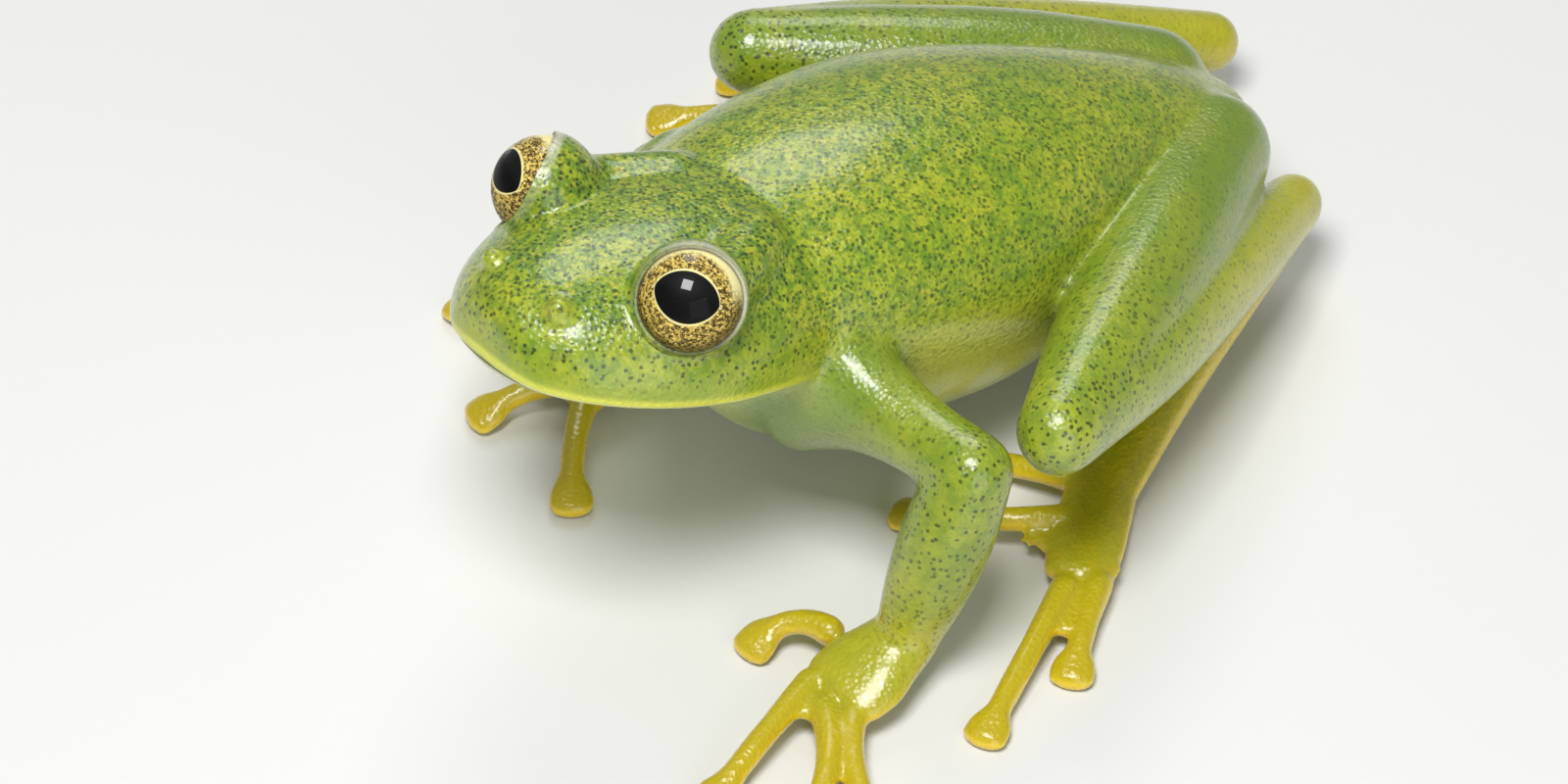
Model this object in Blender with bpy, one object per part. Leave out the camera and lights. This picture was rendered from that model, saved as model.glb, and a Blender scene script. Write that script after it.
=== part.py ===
"""Glass frog at rest, life size: one body modelled whole and parted with thin cuts."""

import bpy
import bmesh
import math
import numpy as np
from mathutils import Matrix, Vector

MM = 0.001

# Frame: the floor is z = 0, the snout points to -Y and the frog's left side is +X.
# Every size and place below is in millimetres, and every angle in degrees. From the snout
# to the vent the frog measures 27 mm, and its head is 8.3 mm wide.

# Body divisions and mesh sizes
GAP = 0.3
VOXEL = 0.17
FACES = 9300
FLOOR_FLAT = 0.05

# Head, in its own axes: x to the left, y to the back, z up, origin midway between the eyes
HEAD_PLACE = (0.25, -7.80, 10.30)
HEAD_YAW = 3.5
HEAD_PITCH = -15.5
HEAD_ROLL = -5.3
EYE_PLACE = (2.92, -0.25, 0.10)
EYE_RADIUS = 1.36
EYE_AZIMUTH = 49.0
EYE_RISE = 18.0
LID_AHEAD = 0.35
LID_RADIUS = 1.48
LID_ROLL = 0.15
NOSTRIL = (1.33, -3.10, -0.35)
NOSTRIL_RADIUS = 0.32
NOSTRIL_HOLE = 0.13
MOUTH_DROP = 0.16
MOUTH_DEPTH = 0.38
MOUTH_WIDTH = 0.12
MOUTH_CORNER = 3.0

# Swelling behind each eye, in the head's axes: x, y, z, half width and half height
BROW = (
    (2.75, 0.85, -0.20, 0.90, 0.95),
    (2.25, 1.80, -0.18, 0.98, 1.02),
    (1.60, 2.90, 0.00, 0.98, 1.00),
)

# Head stations: y, half width at the lip, height of the lip, rise above it, drop below it
HEAD_STATIONS = (
    (-4.10, 0.95, -2.16, 1.01, 0.22),
    (-3.85, 1.75, -2.25, 1.56, 0.42),
    (-3.05, 2.69, -2.30, 2.16, 0.75),
    (-1.90, 3.45, -2.36, 2.60, 1.05),
    (-0.50, 3.99, -2.43, 3.05, 1.35),
    (1.00, 4.20, -2.54, 3.39, 1.60),
    (2.50, 4.15, -2.64, 3.54, 1.85),
    (4.00, 3.95, -2.70, 3.50, 2.10),
    (5.60, 3.45, -2.73, 3.13, 2.15),
    (7.00, 2.60, -2.68, 2.38, 1.90),
)

# Torso stations: y, height of the widest line, half width, rise above it, drop below it
TORSO_STATIONS = (
    (-6.60, 7.60, 2.90, 1.90, 2.80),
    (-4.60, 7.30, 3.95, 2.75, 4.75),
    (-1.50, 6.85, 4.68, 3.30, 5.20),
    (1.80, 6.25, 4.85, 3.45, 5.00),
    (4.80, 5.60, 4.15, 3.25, 3.90),
    (7.80, 4.95, 2.95, 2.65, 2.35),
    (10.40, 4.25, 2.10, 1.85, 1.65),
    (12.20, 3.65, 1.15, 1.00, 1.00),
)

# Joints of each limb
JOINTS = {
    "left": {
        "shoulder": (2.96, -3.72, 5.80),
        "elbow": (8.55, -2.90, 6.10),
        "wrist": (8.65, -4.95, 1.35),
        "knuckles": (8.85, -7.05, 0.85),
        "hip": (1.60, 10.20, 4.55),
        "knee": (8.80, -0.35, 6.30),
        "heel": (2.79, 12.10, 2.50),
        "midfoot": (7.08, 2.50, 0.85),
        "toes": (8.95, 0.35, 0.65),
    },
    "right": {
        "shoulder": (-3.05, -3.60, 5.80),
        "elbow": (-7.30, -1.60, 3.20),
        "wrist": (-4.30, -4.60, 1.30),
        "knuckles": (-4.30, -6.60, 0.80),
        "hip": (-1.60, 10.50, 4.40),
        "knee": (-7.25, 1.40, 6.25),
        "heel": (-3.95, 14.50, 2.10),
        "midfoot": (-7.10, 6.80, 0.90),
        "toes": (-8.10, 5.40, 0.70),
    },
}

# Digits: knuckle place, heading from straight ahead towards the left, length, turn, arch
DIGITS = {
    "left": {
        "finger_1": ((7.00, -6.20, 0.85), -75.0, 2.25, 90.0, 0.20),
        "finger_2": ((8.12, -7.60, 0.75), 22.0, 4.40, -4.0, 0.25),
        "finger_3": ((9.00, -7.80, 0.72), 66.0, 5.00, -50.0, 0.25),
        "finger_4": ((9.30, -6.95, 0.72), 40.5, 4.20, 46.0, 0.20),
        "toe_1": ((6.60, 3.40, 0.70), -88.0, 2.60, 6.0, 0.15),
        "toe_2": ((6.90, 2.60, 0.75), -52.0, 3.60, -16.0, 0.25),
        "toe_3": ((7.50, 1.60, 0.75), -24.0, 4.90, -38.0, 0.30),
        "toe_4": ((9.20, -0.30, 0.65), 31.0, 5.20, -2.0, 0.15),
        "toe_5": ((9.55, 0.50, 0.62), 40.0, 3.00, 0.0, 0.10),
    },
    "right": {
        "finger_1": ((-3.60, -6.50, 0.80), 40.0, 3.60, 18.0, 0.25),
        "finger_2": ((-4.35, -6.60, 0.75), -22.0, 2.60, 14.0, 0.20),
        "finger_3": ((-5.00, -6.20, 0.75), -66.0, 4.00, -20.0, 0.25),
        "finger_4": ((-5.10, -5.60, 0.75), -109.0, 3.20, -14.0, 0.20),
        "toe_1": ((-6.60, 6.40, 0.65), 62.0, 2.70, -20.0, 0.15),
        "toe_2": ((-7.20, 5.40, 0.70), 32.0, 3.80, -16.0, 0.20),
        "toe_3": ((-7.80, 5.00, 0.70), -6.0, 5.00, -8.0, 0.25),
        "toe_4": ((-8.30, 5.40, 0.70), -42.0, 5.40, 4.0, 0.20),
        "toe_5": ((-8.40, 6.00, 0.65), -62.0, 4.20, 6.0, 0.15),
    },
}
DIGIT_BASE = 0.42
DIGIT_SHAFT = 0.33
DISC_WIDTH = 0.60
DISC_HEIGHT = 0.30
DISC_LENGTH = 0.95
TIP_HEIGHT = 0.26

# Neck cut in the head's axes: its middle y, z, and its lean forward at the throat
NECK = (3.65, -1.60)
NECK_TILT = 20.5

# Where each thigh is parted from the torso, and each foot from its tarsus
GROIN = (4.75, 2.30)
RUMP = (1.20, 12.30)
ANKLE_SHARE = 0.16

# Free stretch of each digit that is its own piece, as a share of its length
FREE_FROM = {
    "finger_1": 0.20, "finger_2": 0.30, "finger_3": 0.56, "finger_4": 0.70,
    "toe_1": 0.34, "toe_2": 0.36, "toe_3": 0.34, "toe_4": 0.42, "toe_5": 0.68,
}

# Webs between two digits, and how far they run along each, as shares of the lengths
WEBS = (
    ("finger_2", "finger_3", 0.16, 0.12),
    ("finger_3", "finger_4", 0.40, 0.52),
    ("toe_3", "toe_4", 0.10, 0.14),
    ("toe_4", "toe_5", 0.31, 0.52),
)
WEB_HEIGHT = 0.25

# Limb segments: half width and half height at the start, at each third, and at the end
LIMBS = {
    "upper_arm": ("shoulder", "elbow", ((1.95, 2.80), (1.27, 1.60), (1.02, 1.05), (1.05, 1.05))),
    "forearm": ("elbow", "wrist", ((1.05, 1.05), (1.22, 1.18), (1.15, 1.08), (0.90, 0.80))),
    "hand": ("wrist", "knuckles", ((0.90, 0.80), (1.10, 0.70), (1.32, 0.60), (1.30, 0.48))),
    "thigh": ("hip", "knee", ((1.60, 1.65), (1.75, 1.80), (1.55, 1.60), (1.12, 1.15))),
    "shank": ("knee", "heel", ((1.12, 1.18), (1.40, 1.42), (1.22, 1.28), (0.85, 0.88))),
    "tarsus": ("heel", "midfoot", ((0.82, 0.85), (0.78, 0.76), (0.78, 0.70), (0.95, 0.50))),
    "foot": ("midfoot", "toes", ((0.95, 0.50), (1.00, 0.47), (1.02, 0.44), (0.95, 0.40))),
}

# Finishes: colour, roughness
FINISHES = {
    "dorsal_skin": ((0.20, 0.42, 0.05), 0.32),
    "limb_skin": ((0.30, 0.48, 0.06), 0.32),
    "digit_skin": ((0.66, 0.52, 0.03), 0.28),
    "iris": ((0.42, 0.28, 0.07), 0.12),
}


def head_matrix():
    """Place of the head's own axes, in millimetres."""
    turn = Matrix.Rotation(math.radians(HEAD_YAW), 4, "Z")
    nod = Matrix.Rotation(math.radians(HEAD_PITCH), 4, "X")
    lean = Matrix.Rotation(math.radians(HEAD_ROLL), 4, "Y")
    return Matrix.Translation(HEAD_PLACE) @ turn @ nod @ lean


def eye_place(side):
    """Middle of an eyeball in the head's axes; side is 1 for left, -1 for right."""
    return Vector((side * EYE_PLACE[0], EYE_PLACE[1], EYE_PLACE[2]))


def eye_axis(side):
    """Direction that an eye's lids face, in the head's axes; side is 1 for left, -1 for right."""
    azimuth = math.radians(EYE_AZIMUTH)
    rise = math.radians(EYE_RISE)
    forward = -math.cos(azimuth) * math.cos(rise)
    return Vector((side * math.sin(azimuth) * math.cos(rise), forward, math.sin(rise)))


def through(rows, count):
    """Catmull-Rom curve through rows of numbers, as count rows."""
    rows = np.array(rows, dtype=float)
    first = 2 * rows[0] - rows[1]
    last = 2 * rows[-1] - rows[-2]
    knots = np.vstack([first, rows, last])
    result = []
    for place in np.linspace(0, len(rows) - 1, count):
        index = min(int(place), len(rows) - 2)
        t = place - index
        a, b, c, d = knots[index:index + 4]
        bend = 2 * b + (c - a) * t + (2 * a - 5 * b + 4 * c - d) * t**2
        result.append(0.5 * (bend + (3 * b - a - 3 * c + d) * t**3))
    return np.array(result)


def add_object(name, mesh):
    """Link a new object that carries the mesh."""
    item = bpy.data.objects.new(name, mesh)
    bpy.context.scene.collection.objects.link(item)
    return item


def skin_rings(name, rings):
    """Closed body over rings of points, with a pole at each end."""
    form = bmesh.new()
    loops = [[form.verts.new(Vector(point) * MM) for point in ring] for ring in rings]
    for low, high in zip(loops, loops[1:]):
        for index in range(len(low)):
            after = (index + 1) % len(low)
            form.faces.new((low[index], low[after], high[after], high[index]))
    for loop in (loops[0], loops[-1]):
        middle = sum((vert.co for vert in loop), Vector()) / len(loop)
        pole = form.verts.new(middle)
        for index, vert in enumerate(loop):
            form.faces.new((vert, loop[(index + 1) % len(loop)], pole))
    bmesh.ops.recalc_face_normals(form, faces=form.faces)
    mesh = bpy.data.meshes.new(name)
    form.to_mesh(mesh)
    form.free()
    return add_object(name, mesh)


def tube(name, stations, up=(0, 0, 1), sides=20, steps=24):
    """Soft tube through stations of x, y, z, half width and half height, with round ends."""
    rows = through(stations, steps)
    places = rows[:, :3]
    slopes = np.gradient(places, axis=0)
    rings = []
    angles = np.linspace(0, 2 * math.pi, sides, endpoint=False)

    def ring(place, slope, width, height):
        slope = Vector(slope).normalized()
        right = slope.cross(Vector(up)).normalized()
        rise = right.cross(slope)
        points = []
        for angle in angles:
            points.append(Vector(place) + right * width * math.cos(angle) + rise * height * math.sin(angle))
        return points

    cap = np.radians([12, 30, 50, 70])
    for angle in cap:
        back = places[0] - slopes[0] / np.linalg.norm(slopes[0]) * rows[0, 4] * math.cos(angle)
        rings.append(ring(back, slopes[0], rows[0, 3] * math.sin(angle), rows[0, 4] * math.sin(angle)))
    for row, slope in zip(rows, slopes):
        rings.append(ring(row[:3], slope, row[3], row[4]))
    for angle in cap[::-1]:
        ahead = places[-1] + slopes[-1] / np.linalg.norm(slopes[-1]) * rows[-1, 4] * math.cos(angle)
        rings.append(ring(ahead, slopes[-1], rows[-1, 3] * math.sin(angle), rows[-1, 4] * math.sin(angle)))
    return skin_rings(name, rings)


def section(half_width, rise, drop, sides, high_rounds, low_rounds):
    """Points x, z of a cross-section whose widest line is at z = 0, and its rounding."""
    points = []
    for angle in np.linspace(0, 2 * math.pi, sides, endpoint=False):
        across = math.cos(angle)
        upward = math.sin(angle)
        height = rise if upward > 0 else drop
        side_round, end_round = high_rounds if upward > 0 else low_rounds
        x = half_width * math.copysign(abs(across)**side_round, across)
        z = height * math.copysign(abs(upward)**end_round, upward)
        points.append((x, z))
    return points


def head_body():
    """Head from the snout to the nape, with the swellings over the eyes and the nostrils."""
    place = head_matrix()
    rings = []
    for y, width, lip, rise, drop in through(HEAD_STATIONS, 40):
        ring = section(width, rise, drop, 40, (0.98, 0.92), (1.25, 1.60))
        rings.append([place @ Vector((x, y, lip + z)) for x, z in ring])
    pieces = [skin_rings("head_form", rings)]
    for side in (1, -1):
        pieces.append(ball("lid_form", place @ eye_place(side), LID_RADIUS))
        axis = eye_axis(side)
        ring_place = eye_place(side) + axis * (LID_AHEAD - GAP / 2 - LID_ROLL)
        pieces.append(ring_form("lid_ring", place, ring_place, axis, EYE_RADIUS, LID_ROLL))
        nostril = Vector((side * NOSTRIL[0], NOSTRIL[1], NOSTRIL[2]))
        pieces.append(ball("nostril_form", place @ nostril, NOSTRIL_RADIUS))
        stations = [(*(place @ Vector((side * x, y, z))), *sizes) for x, y, z, *sizes in BROW]
        pieces.append(tube("brow_form", stations, (0, 0, 1), 20, 12))
    return pieces


def ball(name, place, radius):
    """Round body at a place."""
    form = bmesh.new()
    bmesh.ops.create_uvsphere(form, u_segments=24, v_segments=14, radius=radius * MM)
    bmesh.ops.translate(form, verts=form.verts, vec=Vector(place) * MM)
    mesh = bpy.data.meshes.new(name)
    form.to_mesh(mesh)
    form.free()
    return add_object(name, mesh)


def ring_form(name, frame, place, axis, major, minor):
    """Round ring about an axis, both given in the axes of a frame."""
    turn = axis.to_track_quat("Z", "Y").to_matrix().to_4x4()
    matrix = frame @ Matrix.Translation(place) @ turn
    form = bmesh.new()
    rows = []
    for around in np.linspace(0, 2 * math.pi, 36, endpoint=False):
        row = []
        for about in np.linspace(0, 2 * math.pi, 10, endpoint=False):
            reach = major + minor * math.cos(about)
            point = Vector((reach * math.cos(around), reach * math.sin(around), minor * math.sin(about)))
            row.append(form.verts.new(matrix @ point * MM))
        rows.append(row)
    for row, after in zip(rows, rows[1:] + rows[:1]):
        for index in range(len(row)):
            beside = (index + 1) % len(row)
            form.faces.new((row[index], after[index], after[beside], row[beside]))
    bmesh.ops.recalc_face_normals(form, faces=form.faces)
    mesh = bpy.data.meshes.new(name)
    form.to_mesh(mesh)
    form.free()
    return add_object(name, mesh)


def torso_body():
    """Trunk from the neck to the vent."""
    rings = []
    for y, middle, width, rise, drop in through(TORSO_STATIONS, 44):
        ring = section(width, rise, drop, 40, (0.95, 0.95), (0.76, 0.95))
        rings.append([Vector((x, y, middle + z)) for x, z in ring])
    return skin_rings("torso_form", rings)


def limb_body(side, limb):
    """One limb segment between two joints of a side."""
    start, end, sizes = LIMBS[limb]
    first = np.array(JOINTS[side][start])
    last = np.array(JOINTS[side][end])
    stations = []
    for index, (width, height) in enumerate(sizes):
        stations.append((*(first + (last - first) * index / 3), width, height))
    up = (1, 0, 0) if limb == "forearm" else (0, 0, 1)
    return tube(f"{limb}_form", stations, up, 24, 26)


def digit_route(side, digit):
    """Points along the middle of a digit, from its knuckle to the middle of its disc."""
    (x, y, z), heading, length, turn, arch = DIGITS[side][digit]
    count = 24
    places = []
    for index in range(count + 1):
        t = index / count
        low = z + (TIP_HEIGHT - z) * t + arch * math.sin(math.pi * t)
        places.append((x, y, low))
        angle = math.radians(heading + turn * t)
        x += length / count * math.sin(angle)
        y -= length / count * math.cos(angle)
    return np.array(places)


def digit_body(side, digit):
    """One finger or toe, rooted in the palm or foot, with its flat disc at the end."""
    route = digit_route(side, digit)
    length = DIGITS[side][digit][2]
    stations = []
    for place, t in zip(route, np.linspace(0, 1, len(route))):
        shaft = DIGIT_BASE + (DIGIT_SHAFT - DIGIT_BASE) * min(1.0, t * 2.5)
        near = max(0.0, 1 - (1 - t) * length / DISC_LENGTH)
        swell = math.sin(min(1.0, near * 1.4) * math.pi / 2)**2
        width = shaft + (DISC_WIDTH - shaft) * swell
        height = shaft + (DISC_HEIGHT - shaft) * swell
        stations.append((*place, width, height))
    return tube(f"{digit}_form", stations[::2], (0, 0, 1), 16, 30)


def web_body(side, first, second, first_share, second_share):
    """Flat web in the fork between two digits."""
    one = digit_route(side, first)
    two = digit_route(side, second)
    stations = []
    for t in np.linspace(0, 1, 6):
        near = one[int(round(t * first_share * (len(one) - 1)))]
        far = two[int(round(t * second_share * (len(two) - 1)))]
        width = max(0.2, np.linalg.norm(near - far) / 2)
        stations.append((*((near + far) / 2), width, WEB_HEIGHT))
    return tube("web_form", stations, (0, 0, 1), 16, 12)


def fuse(pieces):
    """One body out of several closed ones, by a Boolean union with their collection."""
    group = bpy.data.collections.new("fusing")
    bpy.context.scene.collection.children.link(group)
    body = pieces[0]
    for piece in pieces[1:]:
        bpy.context.scene.collection.objects.unlink(piece)
        group.objects.link(piece)
    joint = body.modifiers.new("fuse", "BOOLEAN")
    joint.operation = "UNION"
    joint.operand_type = "COLLECTION"
    joint.collection = group
    joint.solver = "MANIFOLD"
    settle(body)
    for piece in list(group.objects):
        bpy.data.objects.remove(piece)
    bpy.data.collections.remove(group)
    return body


def settle(item):
    """Apply an object's modifiers to its mesh."""
    bpy.context.view_layer.update()
    graph = bpy.context.evaluated_depsgraph_get()
    mesh = bpy.data.meshes.new_from_object(item.evaluated_get(graph))
    item.modifiers.clear()
    item.data = mesh


def remesh(item, voxel):
    """Even the mesh out to small cells of one size."""
    even = item.modifiers.new("even", "REMESH")
    even.mode = "VOXEL"
    even.voxel_size = voxel * MM
    even.use_smooth_shade = True
    settle(item)


def vertices(item):
    """Vertex places of an object, in millimetres."""
    flat = np.empty(len(item.data.vertices) * 3, dtype=np.float32)
    item.data.vertices.foreach_get("co", flat)
    return flat.reshape(-1, 3).astype(float) / MM


def set_vertices(item, places):
    """Move an object's vertices to places in millimetres."""
    item.data.vertices.foreach_set("co", (places * MM).astype(np.float32).ravel())
    item.data.update()


def soften(item, weights, rounds):
    """Smooth the surface, by a weight at each vertex."""
    group = item.vertex_groups.new(name="soft")
    for level in range(1, 11):
        chosen = np.nonzero(np.round(weights * 10).astype(int) == level)[0]
        if len(chosen):
            group.add(chosen.tolist(), level / 10, "REPLACE")
    smooth = item.modifiers.new("soften", "SMOOTH")
    smooth.factor = 0.5
    smooth.iterations = rounds
    smooth.vertex_group = "soft"
    settle(item)
    item.vertex_groups.clear()


def soft_weights(places):
    """How soft the surface is: most at the neck, shoulders and hips, least at the digits."""
    weights = np.full(len(places), 0.45)
    for side in ("left", "right"):
        joints = JOINTS[side]
        for name, reach in (("shoulder", 4.0), ("hip", 5.0), ("elbow", 2.0), ("wrist", 1.6)):
            away = np.linalg.norm(places - np.array(joints[name]), axis=1)
            weights = np.maximum(weights, np.clip(1.6 - 1.6 * away / reach, 0, 1))
    neck = np.array(head_matrix() @ Vector((0, 5.2, -0.5)))
    away = np.linalg.norm(places - neck, axis=1)
    weights = np.maximum(weights, np.clip(2.2 - 2.2 * away / 7.0, 0, 1))
    low = np.clip((1.4 - places[:, 2]) / 0.6, 0, 1)
    return weights * (1 - 0.75 * low)


def lip_line(y):
    """Half width and height of the lip at a place along the head."""
    table = np.array(HEAD_STATIONS)
    width = np.interp(y, table[:, 0], table[:, 1])
    height = np.interp(y, table[:, 0], table[:, 2])
    return width, height


def mouth_cut():
    """Cutter of the line of the mouth: a thin band round the jaw from corner to corner."""
    frame = head_matrix()
    back = np.linspace(MOUTH_CORNER, HEAD_STATIONS[0][0], 22)
    rings = []
    for side, places in ((1, back), (-1, back[::-1])):
        for y in places:
            width, height = lip_line(y)
            lip = Vector((side * width, y, height - MOUTH_DROP))
            outward = Vector((lip.x, min(0.0, y + 1.0), 0)).normalized()
            ring = []
            for reach, rise in ((0.4, -0.5), (0.4, 0.5), (-MOUTH_DEPTH, 0.5), (-MOUTH_DEPTH, -0.5)):
                ring.append(frame @ (lip + outward * reach + Vector((0, 0, rise * MOUTH_WIDTH))))
            rings.append(ring)
    return skin_rings("cut", rings)


def nostril_cut(side):
    """Cutter of the small hole in a nostril."""
    frame = head_matrix()
    nostril = Vector((side * NOSTRIL[0], NOSTRIL[1], NOSTRIL[2]))
    facing = Vector((side * 0.75, -0.60, 0.45)).normalized()
    return ball("cut", frame @ (nostril + facing * NOSTRIL_RADIUS), NOSTRIL_HOLE)


def plate(name, place, normal, along, reach, spread, thick):
    """Flat cutter: a block about a place, across a normal, reach along and spread aside."""
    normal = Vector(normal).normalized()
    along = Vector(along)
    along = (along - normal * along.dot(normal)).normalized()
    aside = normal.cross(along)
    form = bmesh.new()
    bmesh.ops.create_cube(form, size=1.0)
    shape = Matrix((along, aside, normal)).transposed().to_4x4()
    scale = Matrix.Diagonal((reach * MM, spread * MM, thick * MM, 1))
    form.transform(Matrix.Translation(Vector(place) * MM) @ shape @ scale)
    mesh = bpy.data.meshes.new(name)
    form.to_mesh(mesh)
    form.free()
    return add_object(name, mesh)


def cut_away(body, cutter):
    """Take a cutter out of the body and remove it."""
    cutter.display_type = "WIRE"
    cutter.hide_render = True
    cut = body.modifiers.new("cut", "BOOLEAN")
    cut.operation = "DIFFERENCE"
    cut.object = cutter
    cut.solver = "MANIFOLD"
    settle(body)
    bpy.data.objects.remove(cutter)


def joint_cuts(side):
    """Cutters that part one side's limbs into their segments."""
    joints = {name: Vector(place) for name, place in JOINTS[side].items()}
    out = 1 if side == "left" else -1
    cutters = []
    upper = (joints["elbow"] - joints["shoulder"]).normalized()
    lower = (joints["wrist"] - joints["elbow"]).normalized()
    palm = (joints["knuckles"] - joints["wrist"]).normalized()
    at_trunk = joints["shoulder"] + upper * 2.5
    cutters.append(plate("cut", at_trunk, upper, (0, 0, 1), 4.2, 4.2, GAP))
    inner = (lower - upper).normalized()
    cutters.append(plate("cut", joints["elbow"] + inner * 0.7, upper + lower, inner, 6.4, 2.7, GAP))
    cutters.append(plate("cut", joints["wrist"], lower + palm, (1, 0, 0), 3.2, 3.2, GAP))
    groin = Vector((out * GROIN[0], GROIN[1], 5.0))
    rump = Vector((out * RUMP[0], RUMP[1], 4.0))
    along = rump - groin
    across = along.cross(Vector((0, 0, 1)))
    cutters.append(plate("cut", (groin + rump) / 2, across, along, along.length + 1.0, 7.4, GAP))
    cutters.append(fold_cut(joints["knee"], joints["hip"], joints["heel"], 1.75, 0.95, 18.0, 4.6))
    shin = joints["heel"] + (joints["knee"] - joints["heel"]) * 0.6
    cutters.append(fold_cut(joints["heel"], shin, joints["midfoot"], 1.35, 0.65, 12.0, 3.4))
    ankle = joints["midfoot"] + (joints["heel"] - joints["midfoot"]) * ANKLE_SHARE
    cutters.append(plate("cut", ankle, joints["midfoot"] - joints["heel"], (0, 0, 1), 2.6, 3.2, GAP))
    for digit in DIGITS[side]:
        route = digit_route(side, digit)
        index = int(FREE_FROM[digit] * (len(route) - 1))
        ahead = route[index + 1] - route[index]
        cutters.append(plate("cut", route[index], ahead, (0, 0, 1), 1.9, 1.4, GAP))
    return cutters


def fold_cut(corner, first, second, first_size, second_size, reach, spread):
    """Cutter between two folded segments, nearer to the thinner one."""
    far = second + (first - second) * second_size / (first_size + second_size)
    along = (far - corner).normalized()
    aside = (first - corner).cross(second - corner)
    place = corner + along * (reach / 2 - 1.9)
    return plate("cut", place, along.cross(aside), along, reach, spread, GAP)


def eye_frame(side, ahead):
    """Matrix of a flat across an eye, ahead of its middle, with Z the way the lids face."""
    frame = head_matrix()
    axis = frame.to_3x3() @ eye_axis(side)
    turn = axis.to_track_quat("Z", "Y").to_matrix().to_4x4()
    return Matrix.Translation((frame @ eye_place(side) + axis * ahead) * MM) @ turn


def lid_cut(side):
    """Cutter that opens the lids down to the flat that faces the eye."""
    depth = 3.0
    form = bmesh.new()
    wide = (EYE_RADIUS + LID_ROLL + 0.05) * MM
    bmesh.ops.create_cone(form, cap_ends=True, segments=36, radius1=wide, radius2=wide, depth=depth * MM)
    form.transform(eye_frame(side, LID_AHEAD - GAP / 2 + depth / 2))
    mesh = bpy.data.meshes.new("cut")
    form.to_mesh(mesh)
    form.free()
    return add_object("cut", mesh)


def eye_body(side, name):
    """The part of an eyeball that shows in front of its lids."""
    eye = ball(name, head_matrix() @ eye_place(side), EYE_RADIUS)
    flat = eye_frame(side, LID_AHEAD + GAP / 2 - 2.0)
    along = flat.to_3x3() @ Vector((1, 0, 0))
    facing = flat.to_3x3() @ Vector((0, 0, 1))
    cut_away(eye, plate("cut", flat.translation / MM, facing, along, 4.0, 4.0, 4.0))
    return eye


def pieces_of(body):
    """Separate closed surfaces of a body, as lists of vertices and faces."""
    form = bmesh.new()
    form.from_mesh(body.data)
    bmesh.ops.triangulate(form, faces=form.faces)
    unseen = set(form.verts)
    found = []
    while unseen:
        seed = unseen.pop()
        island = {seed}
        queue = [seed]
        while queue:
            vert = queue.pop()
            for edge in vert.link_edges:
                other = edge.other_vert(vert)
                if other in unseen:
                    unseen.discard(other)
                    island.add(other)
                    queue.append(other)
        found.append(island)
    meshes = []
    for island in sorted(found, key=len, reverse=True):
        order = sorted(island, key=lambda vert: vert.index)
        number = {vert: index for index, vert in enumerate(order)}
        faces = {face for vert in order for face in vert.link_faces}
        faces = sorted(faces, key=lambda face: face.index)
        mesh = bpy.data.meshes.new("piece")
        rows = [[number[vert] for vert in face.verts] for face in faces]
        mesh.from_pydata([vert.co.copy() for vert in order], [], rows)
        meshes.append(mesh)
    form.free()
    return meshes


def name_places():
    """A point inside each piece of flesh, by the piece's name."""
    frame = head_matrix()
    places = {"head": frame @ Vector((0, 0, -1.0)), "torso": Vector((0, 3.0, 6.0))}
    for side in ("left", "right"):
        joints = {name: Vector(place) for name, place in JOINTS[side].items()}
        for limb, (start, end, sizes) in LIMBS.items():
            share = 0.62 if limb == "upper_arm" else 0.5
            places[f"{limb}_{side}"] = joints[start] + (joints[end] - joints[start]) * share
        for digit in DIGITS[side]:
            route = digit_route(side, digit)
            share = (FREE_FROM[digit] + 1) / 2
            places[f"{digit}_{side}"] = Vector(route[int(share * (len(route) - 1))])
    return places


def holds(mesh, place):
    """Whether a closed mesh has a place in it, by the winding of its triangles round it."""
    flat = np.empty(len(mesh.vertices) * 3, dtype=np.float32)
    mesh.vertices.foreach_get("co", flat)
    points = flat.reshape(-1, 3).astype(float) / MM - np.array(place)
    index = np.empty(len(mesh.polygons) * 3, dtype=np.int32)
    mesh.polygons.foreach_get("vertices", index)
    a, b, c = points[index.reshape(-1, 3)].transpose(1, 0, 2)
    la, lb, lc = (np.linalg.norm(row, axis=1) for row in (a, b, c))
    top = np.einsum("ij,ij->i", a, np.cross(b, c))
    low = la * lb * lc + (a * b).sum(1) * lc + (b * c).sum(1) * la + (c * a).sum(1) * lb
    return abs(np.arctan2(top, low).sum() / (2 * math.pi)) > 0.5


def finish(name, colour, roughness):
    """Material of one piece."""
    material = bpy.data.materials.new(name)
    material.use_nodes = True
    shader = material.node_tree.nodes["Principled BSDF"]
    shader.inputs["Base Color"].default_value = (*colour, 1)
    shader.inputs["Roughness"].default_value = roughness
    shader.inputs["Metallic"].default_value = 0.0
    return material


def finish_of(name):
    """Name of the finish that a piece has."""
    if name.startswith("eye"):
        return "iris"
    if name in ("head", "torso"):
        return "dorsal_skin"
    if name.startswith(("finger", "toe", "hand", "foot")):
        return "digit_skin"
    return "limb_skin"


def dress(item):
    """Give a piece its own material and smooth shading."""
    colour, roughness = FINISHES[finish_of(item.name)]
    item.data.materials.clear()
    item.data.materials.append(finish(f"{item.name}_finish", colour, roughness))
    item.data.shade_smooth()
    item.data.set_sharp_from_angle(angle=math.radians(40))


def whole_frog():
    """The frog's flesh as one closed body."""
    pieces = [torso_body()] + head_body()
    for side in ("left", "right"):
        pieces += [limb_body(side, limb) for limb in LIMBS]
        pieces += [digit_body(side, digit) for digit in DIGITS[side]]
        pieces += [web_body(side, *web) for web in WEBS]
    body = fuse(pieces)
    remesh(body, VOXEL)
    soften(body, soft_weights(vertices(body)), 6)
    thin = body.modifiers.new("thin", "DECIMATE")
    count = sum(len(face.vertices) - 2 for face in body.data.polygons)
    thin.ratio = FACES / count
    settle(body)
    return body


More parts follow.
